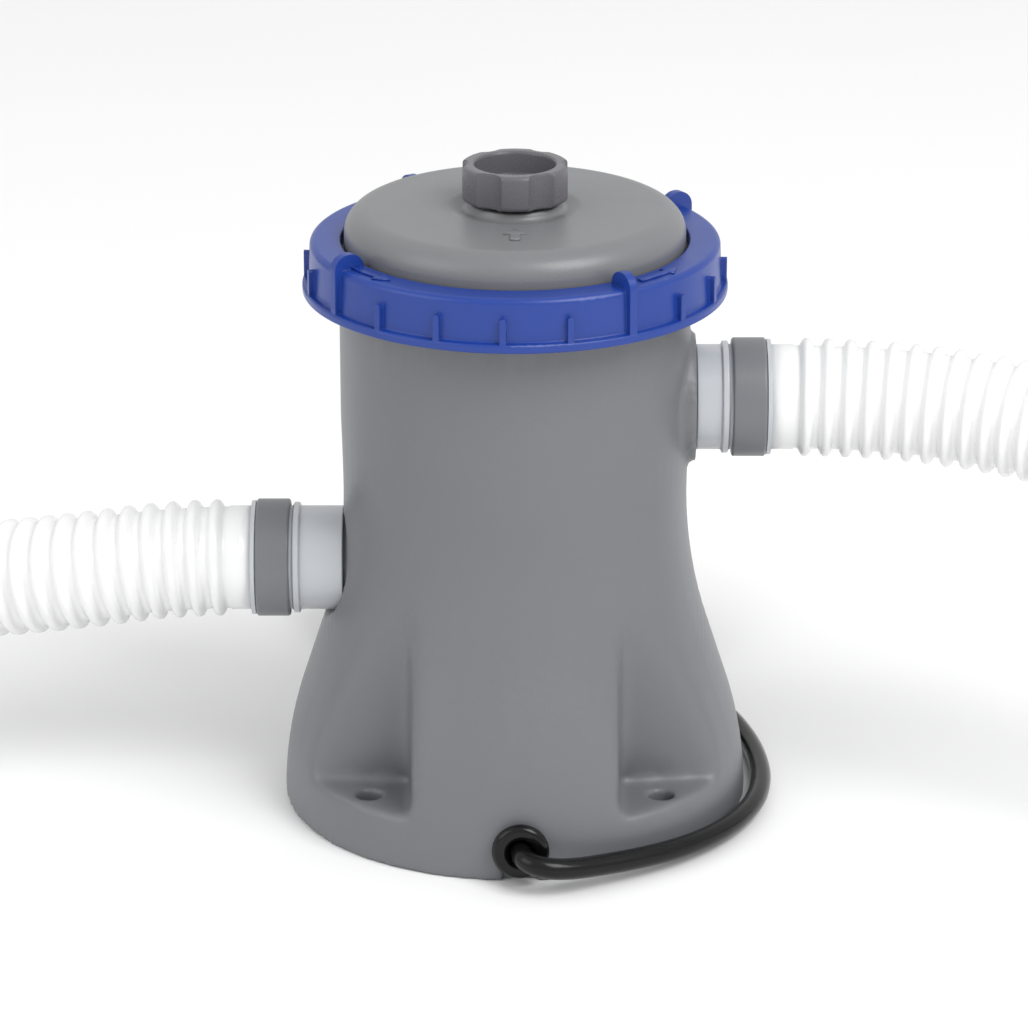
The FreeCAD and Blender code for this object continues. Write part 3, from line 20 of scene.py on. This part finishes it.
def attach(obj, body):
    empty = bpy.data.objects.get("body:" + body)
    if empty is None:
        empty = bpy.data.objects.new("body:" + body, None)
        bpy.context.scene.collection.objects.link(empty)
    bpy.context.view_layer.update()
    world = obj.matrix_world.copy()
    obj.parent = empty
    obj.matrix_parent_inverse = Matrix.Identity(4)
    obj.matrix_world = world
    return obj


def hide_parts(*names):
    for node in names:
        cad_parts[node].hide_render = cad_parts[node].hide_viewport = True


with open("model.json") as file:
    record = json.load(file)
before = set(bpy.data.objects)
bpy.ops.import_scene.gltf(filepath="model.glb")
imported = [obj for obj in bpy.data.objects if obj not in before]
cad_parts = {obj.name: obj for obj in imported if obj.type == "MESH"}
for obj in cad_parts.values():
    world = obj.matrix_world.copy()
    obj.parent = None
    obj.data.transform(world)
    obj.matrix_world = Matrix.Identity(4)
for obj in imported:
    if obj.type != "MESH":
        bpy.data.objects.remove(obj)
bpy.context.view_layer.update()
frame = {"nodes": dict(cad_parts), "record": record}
scene = bpy.context.scene

# %% [markdown]
# ## The camera
#
# A product shot of a small thing is taken from a step back with a long lens, so that the
# housing's sides stay nearly parallel. The camera stands 1.64 m in front of the pump and
# 0.73 m above the floor, and looks down by about twenty degrees.

# %% Place the camera
FRAME_PIXELS = 1028
FOCAL_PIXELS = 4722

camera = bpy.data.objects.new("camera", bpy.data.cameras.new("camera"))
scene.collection.objects.link(camera)
camera.data.sensor_width = 36.0
camera.data.lens = camera.data.sensor_width * FOCAL_PIXELS / FRAME_PIXELS
camera.data.shift_x = -0.001
camera.location = (0.0, -1.637, 0.7252)
camera.rotation_euler = (math.radians(90 - 20.61), 0.0, 0.0)
scene.camera = camera
print("lens", round(camera.data.lens, 1), "mm")

# %% [markdown]
# ## Shader maths as plain sums
#
# A procedural finish is a small sum of patterns. Wiring each sum by hand hides what it
# says, so one class wraps a socket and turns +, -, * and / into Math nodes, with the
# reflected forms that let a number stand first. Every other node comes from one method.

# %% Wrap a socket, and a material that makes its nodes


class Pattern:
    """A number or colour that changes over a surface."""

    def __init__(self, finish, socket):
        self.finish = finish
        self.socket = socket

    def sum(self, operation, first, second):
        return self.finish.make("ShaderNodeMath", {"operation": operation}, {0: first, 1: second})

    def __add__(self, other):
        return self.sum("ADD", self, other)

    def __radd__(self, other):
        return self.sum("ADD", other, self)

    def __sub__(self, other):
        return self.sum("SUBTRACT", self, other)

    def __rsub__(self, other):
        return self.sum("SUBTRACT", other, self)

    def __mul__(self, other):
        return self.sum("MULTIPLY", self, other)

    def __rmul__(self, other):
        return self.sum("MULTIPLY", other, self)

    def __truediv__(self, other):
        return self.sum("DIVIDE", self, other)


class Finish:
    """One material, with its shader and the object coordinates that its patterns read."""

    def __init__(self, name, **constants):
        self.material = bpy.data.materials.new(name)
        self.material.use_nodes = True
        self.tree = self.material.node_tree
        self.shader = self.tree.nodes["Principled BSDF"]
        for socket, value in constants.items():
            self.shader.inputs[socket.replace("_", " ")].default_value = value
        self.place = self.make("ShaderNodeTexCoord", output="Object")

    def make(self, kind, settings=None, values=None, output=0):
        """Add a node: its settings first, then the values or links of its sockets."""
        node = self.tree.nodes.new(kind)
        for name, value in (settings or {}).items():
            if name == "stops":
                for stop, (position, grey) in zip(node.color_ramp.elements, value, strict=True):
                    stop.position = position
                    stop.color = (grey, grey, grey, 1.0)
            else:
                setattr(node, name, value)
        for socket, value in (values or {}).items():
            self.feed(node.inputs[socket], value)
        return Pattern(self, node.outputs[output])

    def feed(self, socket, value):
        """Set a socket, or link a pattern to it."""
        if isinstance(value, Pattern):
            self.tree.links.new(value.socket, socket)
        else:
            socket.default_value = value

    def surface(self, **patterns):
        """Feed patterns to the shader's own sockets."""
        for socket, value in patterns.items():
            self.feed(self.shader.inputs[socket.replace("_", " ")], value)
        return self.material

    def noise(self, scale, detail=2.0, stretch=(1.0, 1.0, 1.0)):
        """Cloudy noise of a scale per metre, which can be drawn out along an axis."""
        place = self.make("ShaderNodeMapping", None, {"Vector": self.place, "Scale": stretch})
        return self.make(
            "ShaderNodeTexNoise", None, {"Vector": place, "Scale": scale, "Detail": detail}
        )

    def between(self, share, dark, light):
        """The colour that is this share of the way from one colour to another."""
        return self.make(
            "ShaderNodeMix",
            {"data_type": "RGBA"},
            {0: share, 6: (*dark, 1.0), 7: (*light, 1.0)},
            output=2,
        )

    def relief(self, height, depth, edge=0.0):
        """A normal with this relief, over edges that are rounded by a small radius."""
        values = {"Height": height, "Distance": depth, "Strength": 1.0}
        if edge:
            values["Normal"] = self.make("ShaderNodeBevel", {"samples": 4}, {"Radius": edge})
        return self.make("ShaderNodeBump", None, values)


print("patterns and finishes ready")

# %% [markdown]
# ## Moulded plastic
#
# The housing, cover, knob and ring are satin mouldings. A new one is never one flat
# colour: the pigment clouds a little, the eroded steel of the mould prints a grain about
# half a millimetre across, and handling leaves some places glossier. Three noises of very
# different scales say just that.

# %% Make the moulded finishes


def shade(colour, factor):
    return tuple(min(1.0, channel * factor) for channel in colour)


def moulded(name, colour, roughness, grain=0.00006, edge=0.0006, cloud=0.06):
    """Satin plastic with clouded pigment, a fine mould grain and softened edges."""
    finish = Finish(name, IOR=1.49)
    clouds = finish.noise(22.0, 3.0)
    streaks = finish.noise(90.0, 2.0, stretch=(1.0, 1.0, 0.15))
    fine = finish.noise(1900.0, 1.0)
    share = clouds * 0.7 + streaks * 0.3
    return finish.surface(
        Base_Color=finish.between(share, shade(colour, 1 - cloud), shade(colour, 1 + cloud)),
        Roughness=roughness - 0.07 + streaks * 0.08 + fine * 0.06,
        Normal=finish.relief(fine + clouds * 0.3, grain, edge),
    )


finishes = {
    "body_grey": moulded("body_grey", (0.150, 0.155, 0.167), 0.40, edge=0.0009),
    "cover_grey": moulded("cover_grey", (0.170, 0.173, 0.180), 0.34),
    "knob_grey": moulded("knob_grey", (0.112, 0.109, 0.120), 0.27, edge=0.0012),
    "ring_blue": moulded("ring_blue", (0.008, 0.040, 0.26), 0.32, grain=0.00004),
    "collar_grey": moulded("collar_grey", (0.160, 0.168, 0.180), 0.36, grain=0.00004),
    "inner_plastic": moulded("inner_plastic", (0.74, 0.75, 0.76), 0.42),
    "bobbin_nylon": moulded("bobbin_nylon", (0.80, 0.77, 0.68), 0.48),
    "terminal_white": moulded("terminal_white", (0.80, 0.80, 0.78), 0.40),
}
print(len(finishes), "moulded finishes")

# %% [markdown]
# ## Rubber, glazed ceramic and sintered metal
#
# The cord's sheath and its grommet are glossy black rubber: nearly no colour, a wet
# highlight, and a surface that waves very slightly. Seals and the cartridge's caps are
# the same stuff with a dull skin. A ceramic shaft is smooth and pale, and a sintered
# magnet is dark and grainy, so the same three patterns serve with other numbers.

# %% Make the rubber finishes


def rubbery(name, colour, roughness, wave=0.00005, gloss=0.0, scale=240.0, bend=1.5):
    """A skin that waves a little, with dust or handling in its gloss."""
    finish = Finish(name, IOR=bend, Coat_Roughness=0.12)
    waves = finish.noise(scale, 2.0)
    dust = finish.noise(38.0, 4.0)
    return finish.surface(
        Base_Color=finish.between(dust, shade(colour, 0.75), shade(colour, 1.35)),
        Roughness=roughness - 0.05 + dust * 0.10,
        Coat_Weight=gloss * (1.2 - dust * 0.4),
        Normal=finish.relief(waves, wave, 0.0004),
    )


finishes |= {
    "cord_black": rubbery("cord_black", (0.004, 0.004, 0.0045), 0.20, gloss=0.06, bend=1.33),
    "grommet_black": rubbery("grommet_black", (0.003, 0.003, 0.0035), 0.15, gloss=0.10, bend=1.33),
    "seal_rubber": rubbery("seal_rubber", (0.030, 0.030, 0.032), 0.62),
    "plug_black": rubbery("plug_black", (0.020, 0.020, 0.022), 0.45, wave=0.0001, gloss=0.1),
    "cap_blue": rubbery("cap_blue", (0.16, 0.30, 0.55), 0.55, wave=0.0001),
    "ceramic": rubbery("ceramic", (0.86, 0.85, 0.82), 0.16, wave=0.00001, gloss=0.6),
    "magnet_dark": rubbery("magnet_dark", (0.055, 0.055, 0.060), 0.58, wave=0.0002, scale=900),
}
print(len(finishes), "finishes so far")

# %% [markdown]
# ## Metal, windings and laminations
#
# Screws are turned steel. The stator is a stack of half-millimetre sheets, and its coils
# are enamelled wire wound side by side. Both are bands that repeat along one axis, which
# a Wave texture gives: it darkens the joints and lifts the middles.

# %% Make the metal finishes


def metal(name, colour, roughness, bands=0.0, along="Z", depth=0.00005, metallic=1.0):
    """Metal with fine scratches, and bands of a pitch along one axis where it is built up."""
    finish = Finish(name, Metallic=metallic)
    scratches = finish.noise(700.0, 3.0, stretch=(1.0, 1.0, 0.08))
    if bands:
        ridges = finish.make(
            "ShaderNodeTexWave",
            {"wave_type": "BANDS", "bands_direction": along},
            {"Vector": finish.place, "Scale": math.pi / (10 * bands), "Distortion": 0.0},
            output="Fac",
        )
    else:
        ridges = scratches
    share = ridges * 0.6 + scratches * 0.4
    return finish.surface(
        Base_Color=finish.between(share, shade(colour, 0.55), shade(colour, 1.1)),
        Roughness=roughness + scratches * 0.15,
        Normal=finish.relief(ridges, depth, 0.0002),
    )


finishes |= {
    "screw_steel": metal("screw_steel", (0.60, 0.61, 0.63), 0.28),
    "pin_brass": metal("pin_brass", (0.72, 0.69, 0.62), 0.20),
    "lamination": metal("lamination", (0.30, 0.31, 0.34), 0.42, 0.0005, "Z", 0.0001, 0.8),
    "copper_wire": metal("copper_wire", (0.66, 0.27, 0.12), 0.30, 0.0004, "Y", 0.0002),
}
print(len(finishes), "finishes so far")

# %% [markdown]
# ## Milky hose, filter paper and strap
#
# The hoses are blown from clear vinyl that turns milky where it is thick. Real
# transmission would need many light bounces through two walls, so the surface is made
# partly see-through with Alpha, a little denser where the wall clouds. The cuffs are the
# same vinyl, thicker, over the grey spigots that show through. Paper and strap are
# fibres: noise drawn out two ways.

# %% Make the milky and fibrous finishes


def milky(name, colour, density, roughness):
    """Soft vinyl that lets part of the light through."""
    finish = Finish(name, IOR=1.52, Coat_Roughness=0.15)
    clouds = finish.noise(30.0, 3.0)
    fine = finish.noise(420.0, 2.0)
    return finish.surface(
        Base_Color=finish.between(clouds, shade(colour, 0.985), shade(colour, 1.015)),
        Roughness=roughness + clouds * 0.10,
        Alpha=density - 0.04 + clouds * 0.08,
        Coat_Weight=0.25 + clouds * 0.15,
        Normal=finish.relief(fine, 0.00003),
    )


def fibrous(name, colour, roughness, scale, depth):
    """Fibres that cross each other, as in filter paper or a hook-and-loop strap."""
    finish = Finish(name, Sheen_Weight=0.2)
    along = finish.noise(scale, 3.0, stretch=(1.0, 1.0, 0.12))
    across = finish.noise(scale, 3.0, stretch=(0.12, 0.12, 1.0))
    share = along * 0.5 + across * 0.5
    return finish.surface(
        Base_Color=finish.between(share, shade(colour, 0.8), shade(colour, 1.1)),
        Roughness=roughness - 0.05 + share * 0.1,
        Normal=finish.relief(share, depth),
    )


finishes |= {
    "hose_clear": milky("hose_clear", (0.88, 0.885, 0.88), 0.92, 0.20),
    "cuff_clear": milky("cuff_clear", (0.60, 0.625, 0.66), 0.80, 0.24),
    "pleat_paper": fibrous("pleat_paper", (0.86, 0.86, 0.83), 0.82, 700.0, 0.0002),
    "tie_black": fibrous("tie_black", (0.022, 0.022, 0.025), 0.85, 1200.0, 0.0004),
}
print(sorted(finishes))

# %% [markdown]
# ## Dressing the CAD nodes
#
# Each solid keeps its shape and takes the finish that the record names for it. Only the
# material slots change.

# %% Give every CAD node its finish
for part in frame["record"]["subparts"]:
    node = frame["nodes"][part["node"]]
    node.data.materials.clear()
    node.data.materials.append(finishes[part["material_slot"]])

# %% [markdown]
# ## Adding a piece
#
# Every new piece does the same things at its end: its mesh gets the finish of a record slot
# and smooth shading, it rides on a body, and the solids that it stands for are hidden.

# %% A helper that adds a finished piece


def add_piece(name, data, slot, body, stands_for=()):
    """Link a piece at the origin, dress it, and hang it on its body."""
    piece = bpy.data.objects.new(name, data)
    scene.collection.objects.link(piece)
    data.materials.clear()
    data.materials.append(finishes[slot])
    if piece.type == "MESH":
        data.shade_smooth()
    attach(piece, body)
    if stands_for:
        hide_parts(*stands_for)
    return piece


def report(piece):
    piece.data.calc_loop_triangles()
    print(piece.name, len(piece.data.loop_triangles), "triangles")


# %% [markdown]
# ## The housing, with softly pressed feet
#
# Four hollows are pressed into the flare above the mounting holes, and in a moulding
# their edges run out softly into the flare. Exact solids have hard edges there. The
# solid's own mesh is merged, rebuilt as an even skin of small squares, and the skin is
# relaxed only around the hollows, more above the shelf than at its rim, so that the mouth
# of each hole stays round. The wall is only two squares thick, so the squares can't be
# larger, and a Decimate modifier then thins out the flat stretches.

# %% Soften the housing's hollows
SKIN = 0.0015
HOLE = 0.0535


def even_skin(node, name, size):
    """A merged copy of a node's mesh, rebuilt in squares of one size."""
    copy = bpy.data.objects.new(name, frame["nodes"][node].data.copy())
    scene.collection.objects.link(copy)
    work = bmesh.new()
    work.from_mesh(copy.data)
    bmesh.ops.remove_doubles(work, verts=work.verts, dist=1e-6)
    work.to_mesh(copy.data)
    work.free()
    remesh = copy.modifiers.new("even_skin", "REMESH")
    remesh.mode = "VOXEL"
    remesh.voxel_size = size
    graph = bpy.context.evaluated_depsgraph_get()
    skin = bpy.data.meshes.new_from_object(copy.evaluated_get(graph))
    bpy.data.objects.remove(copy)
    return skin


def near_hollow(spot, low, high, clear):
    """True between two heights around a hollow, outside its bolt hole."""
    side = min(abs(spot.x), abs(spot.y))
    from_hole = math.hypot(abs(spot.x) - HOLE, abs(spot.y) - HOLE)
    return low < spot.z < high and side > 0.024 and from_hole > clear


skin = even_skin("pump_housing", "housing_skin", SKIN)
work = bmesh.new()
work.from_mesh(skin)
soft = [v for v in work.verts if near_hollow(v.co, 0.0235, 0.112, 0.0)]
rim = [v for v in work.verts if near_hollow(v.co, 0.014, 0.0265, 0.0085)]
foot = [v for v in work.verts if v.co.z < 0.0065 and v.co.to_2d().length > 0.0835]
for verts, passes in ((soft, 40), (rim, 7), (foot, 4)):
    for _ in range(passes):
        bmesh.ops.smooth_vert(
            work, verts=verts, factor=0.5, use_axis_x=True, use_axis_y=True, use_axis_z=True
        )
work.to_mesh(skin)
work.free()


def thinned(skin, share):
    """The same surface with this share of its triangles."""
    holder = bpy.data.objects.new("thinning", skin)
    scene.collection.objects.link(holder)
    holder.modifiers.new("thin", "DECIMATE").ratio = share
    graph = bpy.context.evaluated_depsgraph_get()
    thin = bpy.data.meshes.new_from_object(holder.evaluated_get(graph))
    bpy.data.objects.remove(holder)
    return thin


housing = add_piece(
    "housing_moulding", thinned(skin, 0.6), "body_grey", "root", ["pump_housing"]
)
report(housing)

# %% [markdown]
# ## A route becomes a smooth line
#
# A hose or cord takes the smoothest line its stiffness allows. A NURBS spline of order
# three through a few control points bends without corners. Its points are added first and
# its order set afterwards.

# %% Make a spline from control points, and read points along it


def route_curve(name, points, steps=14):
    """An open NURBS curve with these control points, in metres."""
    curve = bpy.data.curves.new(name, "CURVE")
    curve.dimensions = "3D"
    curve.resolution_u = steps
    spline = curve.splines.new("NURBS")
    spline.points.add(len(points) - 1)
    for spot, point in zip(spline.points, points, strict=True):
        spot.co = (*point, 1.0)
    spline.order_u = 3
    spline.use_endpoint_u = True
    return curve


def points_along(curve):
    """The points of a curve's own line, read from the curve without a bevel."""
    holder = bpy.data.objects.new(curve.name + "_line", curve)
    scene.collection.objects.link(holder)
    graph = bpy.context.evaluated_depsgraph_get()
    line = bpy.data.meshes.new_from_object(holder.evaluated_get(graph))
    spots = [v.co.copy() for v in line.vertices]
    bpy.data.objects.remove(holder)
    bpy.data.meshes.remove(line)
    return spots


def line_length(spots):
    return sum((b - a).length for a, b in zip(spots, spots[1:], strict=False))


# %% [markdown]
# ## The ribbed hoses
#
# A pool hose is blown into a mould of rings, so it has a smooth sleeve at each end and
# between them a round ridge every eight millimetres, which lets it bend. One ridge is
# drawn again and again as a profile along the X axis, and a spin closes it to a straight
# hose. Then the hose is laid along its line: each point keeps its place in the ring and
# is carried to where the ring sits, with a frame that turns no more than the line does.

# %% Make a straight ribbed hose
SLEEVE_RADIUS = 0.0193
RIDGE = [(0.0, 18.9), (0.16, 19.0), (0.22, 20.0), (0.30, 21.0), (0.40, 21.6), (0.50, 21.75)]
RIDGE += [(0.60, 21.6), (0.70, 21.0), (0.78, 20.0), (0.84, 19.0)]


def straight_hose(length, sleeve, pitch):
    """A ribbed tube along X, with a smooth sleeve at each end."""
    ridges = int((length - 2 * sleeve) / pitch)
    start = (length - ridges * pitch) / 2
    first = sleeve if start > sleeve else start
    profile = [(0.0, SLEEVE_RADIUS), (first * 0.5, SLEEVE_RADIUS), (first - 0.001, SLEEVE_RADIUS)]
    for ridge in range(ridges):
        profile += [(first + (ridge + share) * pitch, r / 1000) for share, r in RIDGE]
    last = first + ridges * pitch
    profile += [(last + 0.001, SLEEVE_RADIUS), (length, SLEEVE_RADIUS)]
    work = bmesh.new()
    spots = [work.verts.new((s, 0.0, r)) for s, r in profile]
    edges = [work.edges.new(pair) for pair in zip(spots, spots[1:], strict=False)]
    bmesh.ops.spin(
        work, geom=spots + edges, axis=(1, 0, 0), cent=(0, 0, 0),
        angle=math.tau, steps=48, use_merge=True, use_duplicate=False,
    )
    bmesh.ops.remove_doubles(work, verts=work.verts, dist=1e-6)
    open_edges = [e for e in work.edges if e.is_boundary]
    bmesh.ops.holes_fill(work, edges=open_edges, sides=0)
    bmesh.ops.recalc_face_normals(work, faces=work.faces)
    return work


def lay_along(work, spots):
    """Carry a piece that lies along X onto a line, without twisting it."""
    distances = [0.0]
    for a, b in zip(spots, spots[1:], strict=False):
        distances.append(distances[-1] + (b - a).length)
    heading = (spots[1] - spots[0]).normalized()
    across = heading.orthogonal().normalized()
    frames = []
    for i, spot in enumerate(spots):
        ahead = spots[min(i + 1, len(spots) - 1)]
        behind = spots[max(i - 1, 0)]
        turned = (ahead - behind).normalized()
        across = heading.rotation_difference(turned) @ across
        heading = turned
        frames.append((spot, across, heading.cross(across)))
    for vert in work.verts:
        s = min(max(vert.co.x, 0.0), distances[-1])
        k = min(bisect.bisect_right(distances, s), len(spots) - 1)
        share = (s - distances[k - 1]) / (distances[k] - distances[k - 1])
        spot, side, up = (a.lerp(b, share) for a, b in zip(frames[k - 1], frames[k], strict=True))
        vert.co = spot + side * vert.co.y + up * vert.co.z


print("hose helpers ready")

# %% [markdown]
# The control points are the CAD routes' own, in metres. The inlet hose leaves the upper
# port on the right, the outlet hose the lower port on the left. Each sinks to the floor
# and ends beside the pump in a smooth cuff, after a loop that keeps bends gentle.

# %% Lay both hoses
INLET_ROUTE = [
    (0.0935, 0, 0.1556), (0.120, 0, 0.1556), (0.166, -0.007, 0.1535), (0.212, -0.026, 0.149),
    (0.256, -0.053, 0.143), (0.296, -0.087, 0.139), (0.336, -0.133, 0.125),
    (0.390, -0.172, 0.104), (0.462, -0.195, 0.080), (0.538, -0.189, 0.058),
    (0.606, -0.153, 0.042), (0.655, -0.095, 0.031), (0.677, -0.022, 0.025),
    (0.669, 0.054, 0.0225), (0.633, 0.122, 0.022), (0.574, 0.172, 0.022),
    (0.500, 0.194, 0.022), (0.424, 0.188, 0.022), (0.356, 0.153, 0.022),
    (0.308, 0.095, 0.022), (0.284, 0.036, 0.022),
]
OUTLET_ROUTE = [
    (-0.0975, 0, 0.0925), (-0.124, 0, 0.0925), (-0.168, 0.003, 0.085),
    (-0.214, 0.016, 0.076), (-0.258, 0.044, 0.068), (-0.298, 0.087, 0.065),
    (-0.338, 0.133, 0.053), (-0.392, 0.172, 0.040), (-0.464, 0.195, 0.030),
    (-0.540, 0.189, 0.024), (-0.608, 0.153, 0.022), (-0.657, 0.095, 0.022),
    (-0.679, 0.022, 0.022), (-0.671, -0.054, 0.022), (-0.635, -0.122, 0.022),
    (-0.576, -0.172, 0.022), (-0.502, -0.194, 0.022), (-0.426, -0.188, 0.022),
    (-0.358, -0.153, 0.022), (-0.310, -0.095, 0.022), (-0.286, -0.036, 0.022),
]


def hose(side, route, sleeve, pitch):
    """One ribbed hose on its route, with a smooth sleeve at each end, in place of the CAD hose."""
    spots = points_along(route_curve(side + "_hose_route", route))
    length = line_length(spots)
    work = straight_hose(length, sleeve, pitch)
    lay_along(work, spots)
    mesh = bpy.data.meshes.new(side + "_ribbed_hose")
    work.to_mesh(mesh)
    work.free()
    piece = add_piece(side + "_ribbed_hose", mesh, "hose_clear", "root", [side + "_hose"])
    report(piece)
    print(side, "hose", round(length, 3), "m")


hose("inlet", INLET_ROUTE, 0.0092, 0.00778)
hose("outlet", OUTLET_ROUTE, 0.0087, 0.00785)

# %% [markdown]
# ## The mains cord
#
# The cord comes out of its grommet at the front, hugs the foot, and goes behind the pump,
# where its length is put away in sixteen turns, four wide and four high. It is one spline:
# the turns are more points of it, made by a loop. Each turn steps sideways in its third
# quarter, and a layer's last turn steps up in its fourth, so that turns that lie side by
# side step together and never cut through each other. A tail climbs out over the turns to
# the plug.

# %% Lay the cord with its turns
CORD_RADIUS = 0.0039
CORD_START = [
    (0.002, -0.087, 0.0135), (0.002, -0.094, 0.0134), (0.006, -0.0989, 0.0126),
    (0.013, -0.0998, 0.0112), (0.021, -0.0965, 0.0098), (0.031, -0.0905, 0.0086),
    (0.045, -0.0825, 0.0076), (0.060, -0.072, 0.0068), (0.073, -0.0585, 0.0061),
    (0.083, -0.043, 0.0056), (0.090, -0.025, 0.0051), (0.093, -0.005, 0.0047),
    (0.0925, 0.015, 0.0044), (0.0895, 0.035, 0.0041), (0.084, 0.055, 0.004),
    (0.0765, 0.074, 0.004), (0.0695, 0.092, 0.004), (0.0645, 0.110, 0.004),
    (0.0635, 0.125, 0.004), (0.065, 0.142, 0.004),
]
CORD_TAIL = [
    (0.0605, 0.132, 0.0285), (0.0635, 0.148, 0.0335), (0.061, 0.165, 0.039),
    (0.054, 0.181, 0.0445), (0.0425, 0.193, 0.0488), (0.028, 0.1995, 0.0498),
    (0.015, 0.202, 0.0498),
]
COIL_CENTRE_Y = 0.160
PER_TURN = 16


def ease(share):
    """A smooth step from 0 to 1."""
    share = min(max(share, 0.0), 1.0)
    return share * share * (3 - 2 * share)


def coil_points():
    """The put-away turns: out and in through four layers of four."""
    width = 2 * CORD_RADIUS
    radii = [0.0659 - width * 1.01 * k for k in range(4)]
    spots = []
    for turn in range(16):
        layer, place = divmod(turn, 4)
        across = radii if layer % 2 == 0 else radii[::-1]
        radius = across[place]
        following = across[place + 1] if place < 3 else radius
        rise = width if place == 3 and layer < 3 else 0.0
        for step in range(PER_TURN):
            share = step / PER_TURN
            r = radius + (following - radius) * ease((share - 0.5) / 0.25)
            z = 0.004 + layer * width + rise * ease((share - 0.75) / 0.25)
            angle = math.tau * share
            spots.append((r * math.cos(angle), COIL_CENTRE_Y + r * math.sin(angle), z))
    return spots


turns = coil_points()
cord_curve = route_curve("mains_cord", CORD_START + turns[:-1] + CORD_TAIL, steps=6)
cord_line = points_along(cord_curve)
cord_curve.bevel_depth = CORD_RADIUS
cord_curve.bevel_resolution = 5
cord_curve.use_fill_caps = True
mains_cord = add_piece(
    "mains_cord", cord_curve, "cord_black", "root",
    ["power_cord", "cord_coil", "power_cord_tail"],
)
print("mains cord", round(line_length(cord_line), 2), "m in", len(turns) // PER_TURN, "turns")

# %% [markdown]
# ## Raised marks
#
# Low arrows are moulded on the ring's top, which show the way it opens, and one on the
# cover points to the air-release knob. Each is a flat outline, drawn once, filled,
# extruded by less than half a millimetre, and its top edge bevelled. Bending it round the
# ring is a move of its few points.

# %% Make the raised arrows
RING_TOP = 0.217


def arrow_mark(length, width, head, thickness):
    """A flat arrow along +Y, extruded upwards from Z = 0."""
    work = bmesh.new()
    half, shaft = width / 2, width / 5
    outline = [
        (-shaft, 0), (shaft, 0), (shaft, (length - head) / 2), (shaft, length - head),
        (half, length - head), (0, length), (-half, length - head),
        (-shaft, length - head), (-shaft, (length - head) / 2),
    ]
    face = work.faces.new([work.verts.new((x, y, 0)) for x, y in outline])
    raised = bmesh.ops.extrude_face_region(work, geom=[face])
    top = [v for v in raised["geom"] if isinstance(v, bmesh.types.BMVert)]
    bmesh.ops.translate(work, verts=top, vec=(0, 0, thickness))
    rim_edges = {e for v in top for e in v.link_edges if all(w in top for w in e.verts)}
    bmesh.ops.bevel(
        work, geom=list(rim_edges), offset=thickness * 0.3, affect="EDGES", segments=2,
        profile=0.5, material=-1,
    )
    bmesh.ops.recalc_face_normals(work, faces=work.faces)
    return work


def ring_arrow(name, middle):
    """An arrow on the ring's top, bent round it, that points anticlockwise."""
    radius = 0.0688
    work = arrow_mark(0.020, 0.0066, 0.0060, 0.0009)
    for vert in work.verts:
        angle = math.radians(middle) + (vert.co.y - 0.010) / radius
        r = radius - vert.co.x
        vert.co = (r * math.cos(angle), r * math.sin(angle), RING_TOP - 0.0001 + vert.co.z)
    mesh = bpy.data.meshes.new(name)
    work.to_mesh(mesh)
    work.free()
    return add_piece(name, mesh, "ring_blue", "ring")


for count, middle in enumerate((222, 318, 42, 138), start=1):
    report(ring_arrow("ring_arrow_%d" % count, middle))

work = arrow_mark(0.013, 0.0085, 0.0065, 0.0009)
bmesh.ops.transform(work, verts=work.verts, matrix=Matrix.Translation((0, -0.0425, 0.22845)))
mesh = bpy.data.meshes.new("cover_arrow")
work.to_mesh(mesh)
work.free()
report(add_piece("cover_arrow", mesh, "cover_grey", "cover"))

# %% [markdown]
# ## Floor and light
#
# The pump stands on a pale sweep under soft light: a bright even sky that fills every
# side, one large soft lamp above and in front on the right for the shape, and a weaker
# one on the left.

# %% Lay the floor and hang the lights
floor_work = bmesh.new()
bmesh.ops.create_grid(floor_work, x_segments=2, y_segments=2, size=6.0)
floor_mesh = bpy.data.meshes.new("floor")
floor_work.to_mesh(floor_mesh)
floor_work.free()
floor = bpy.data.objects.new("floor", floor_mesh)
scene.collection.objects.link(floor)
pale = Finish("pale_floor", Roughness=0.6)
floor_mesh.materials.append(
    pale.surface(
        Base_Color=pale.between(pale.noise(3.0, 2.0), (0.90, 0.90, 0.90), (0.93, 0.93, 0.93)),
    )
)

world = bpy.data.worlds.new("studio")
scene.world = world
world.use_nodes = True
world.node_tree.nodes["Background"].inputs["Color"].default_value = (1.0, 1.0, 1.0, 1.0)
world.node_tree.nodes["Background"].inputs["Strength"].default_value = 0.80
scene.view_settings.view_transform = "Standard"


def soft_lamp(name, power, size, spot, aim):
    """A square lamp that faces a point."""
    lamp = bpy.data.objects.new(name, bpy.data.lights.new(name, "AREA"))
    lamp.data.energy = power
    lamp.data.size = size
    lamp.location = spot
    lamp.rotation_euler = (Vector(aim) - Vector(spot)).to_track_quat("-Z", "Y").to_euler()
    scene.collection.objects.link(lamp)
    print(name, power, "W")


soft_lamp("key_lamp", 36.0, 1.3, (1.2, -1.1, 1.9), (0.0, 0.0, 0.1))
soft_lamp("fill_lamp", 9.0, 1.4, (-1.6, -0.9, 1.2), (0.0, 0.0, 0.1))
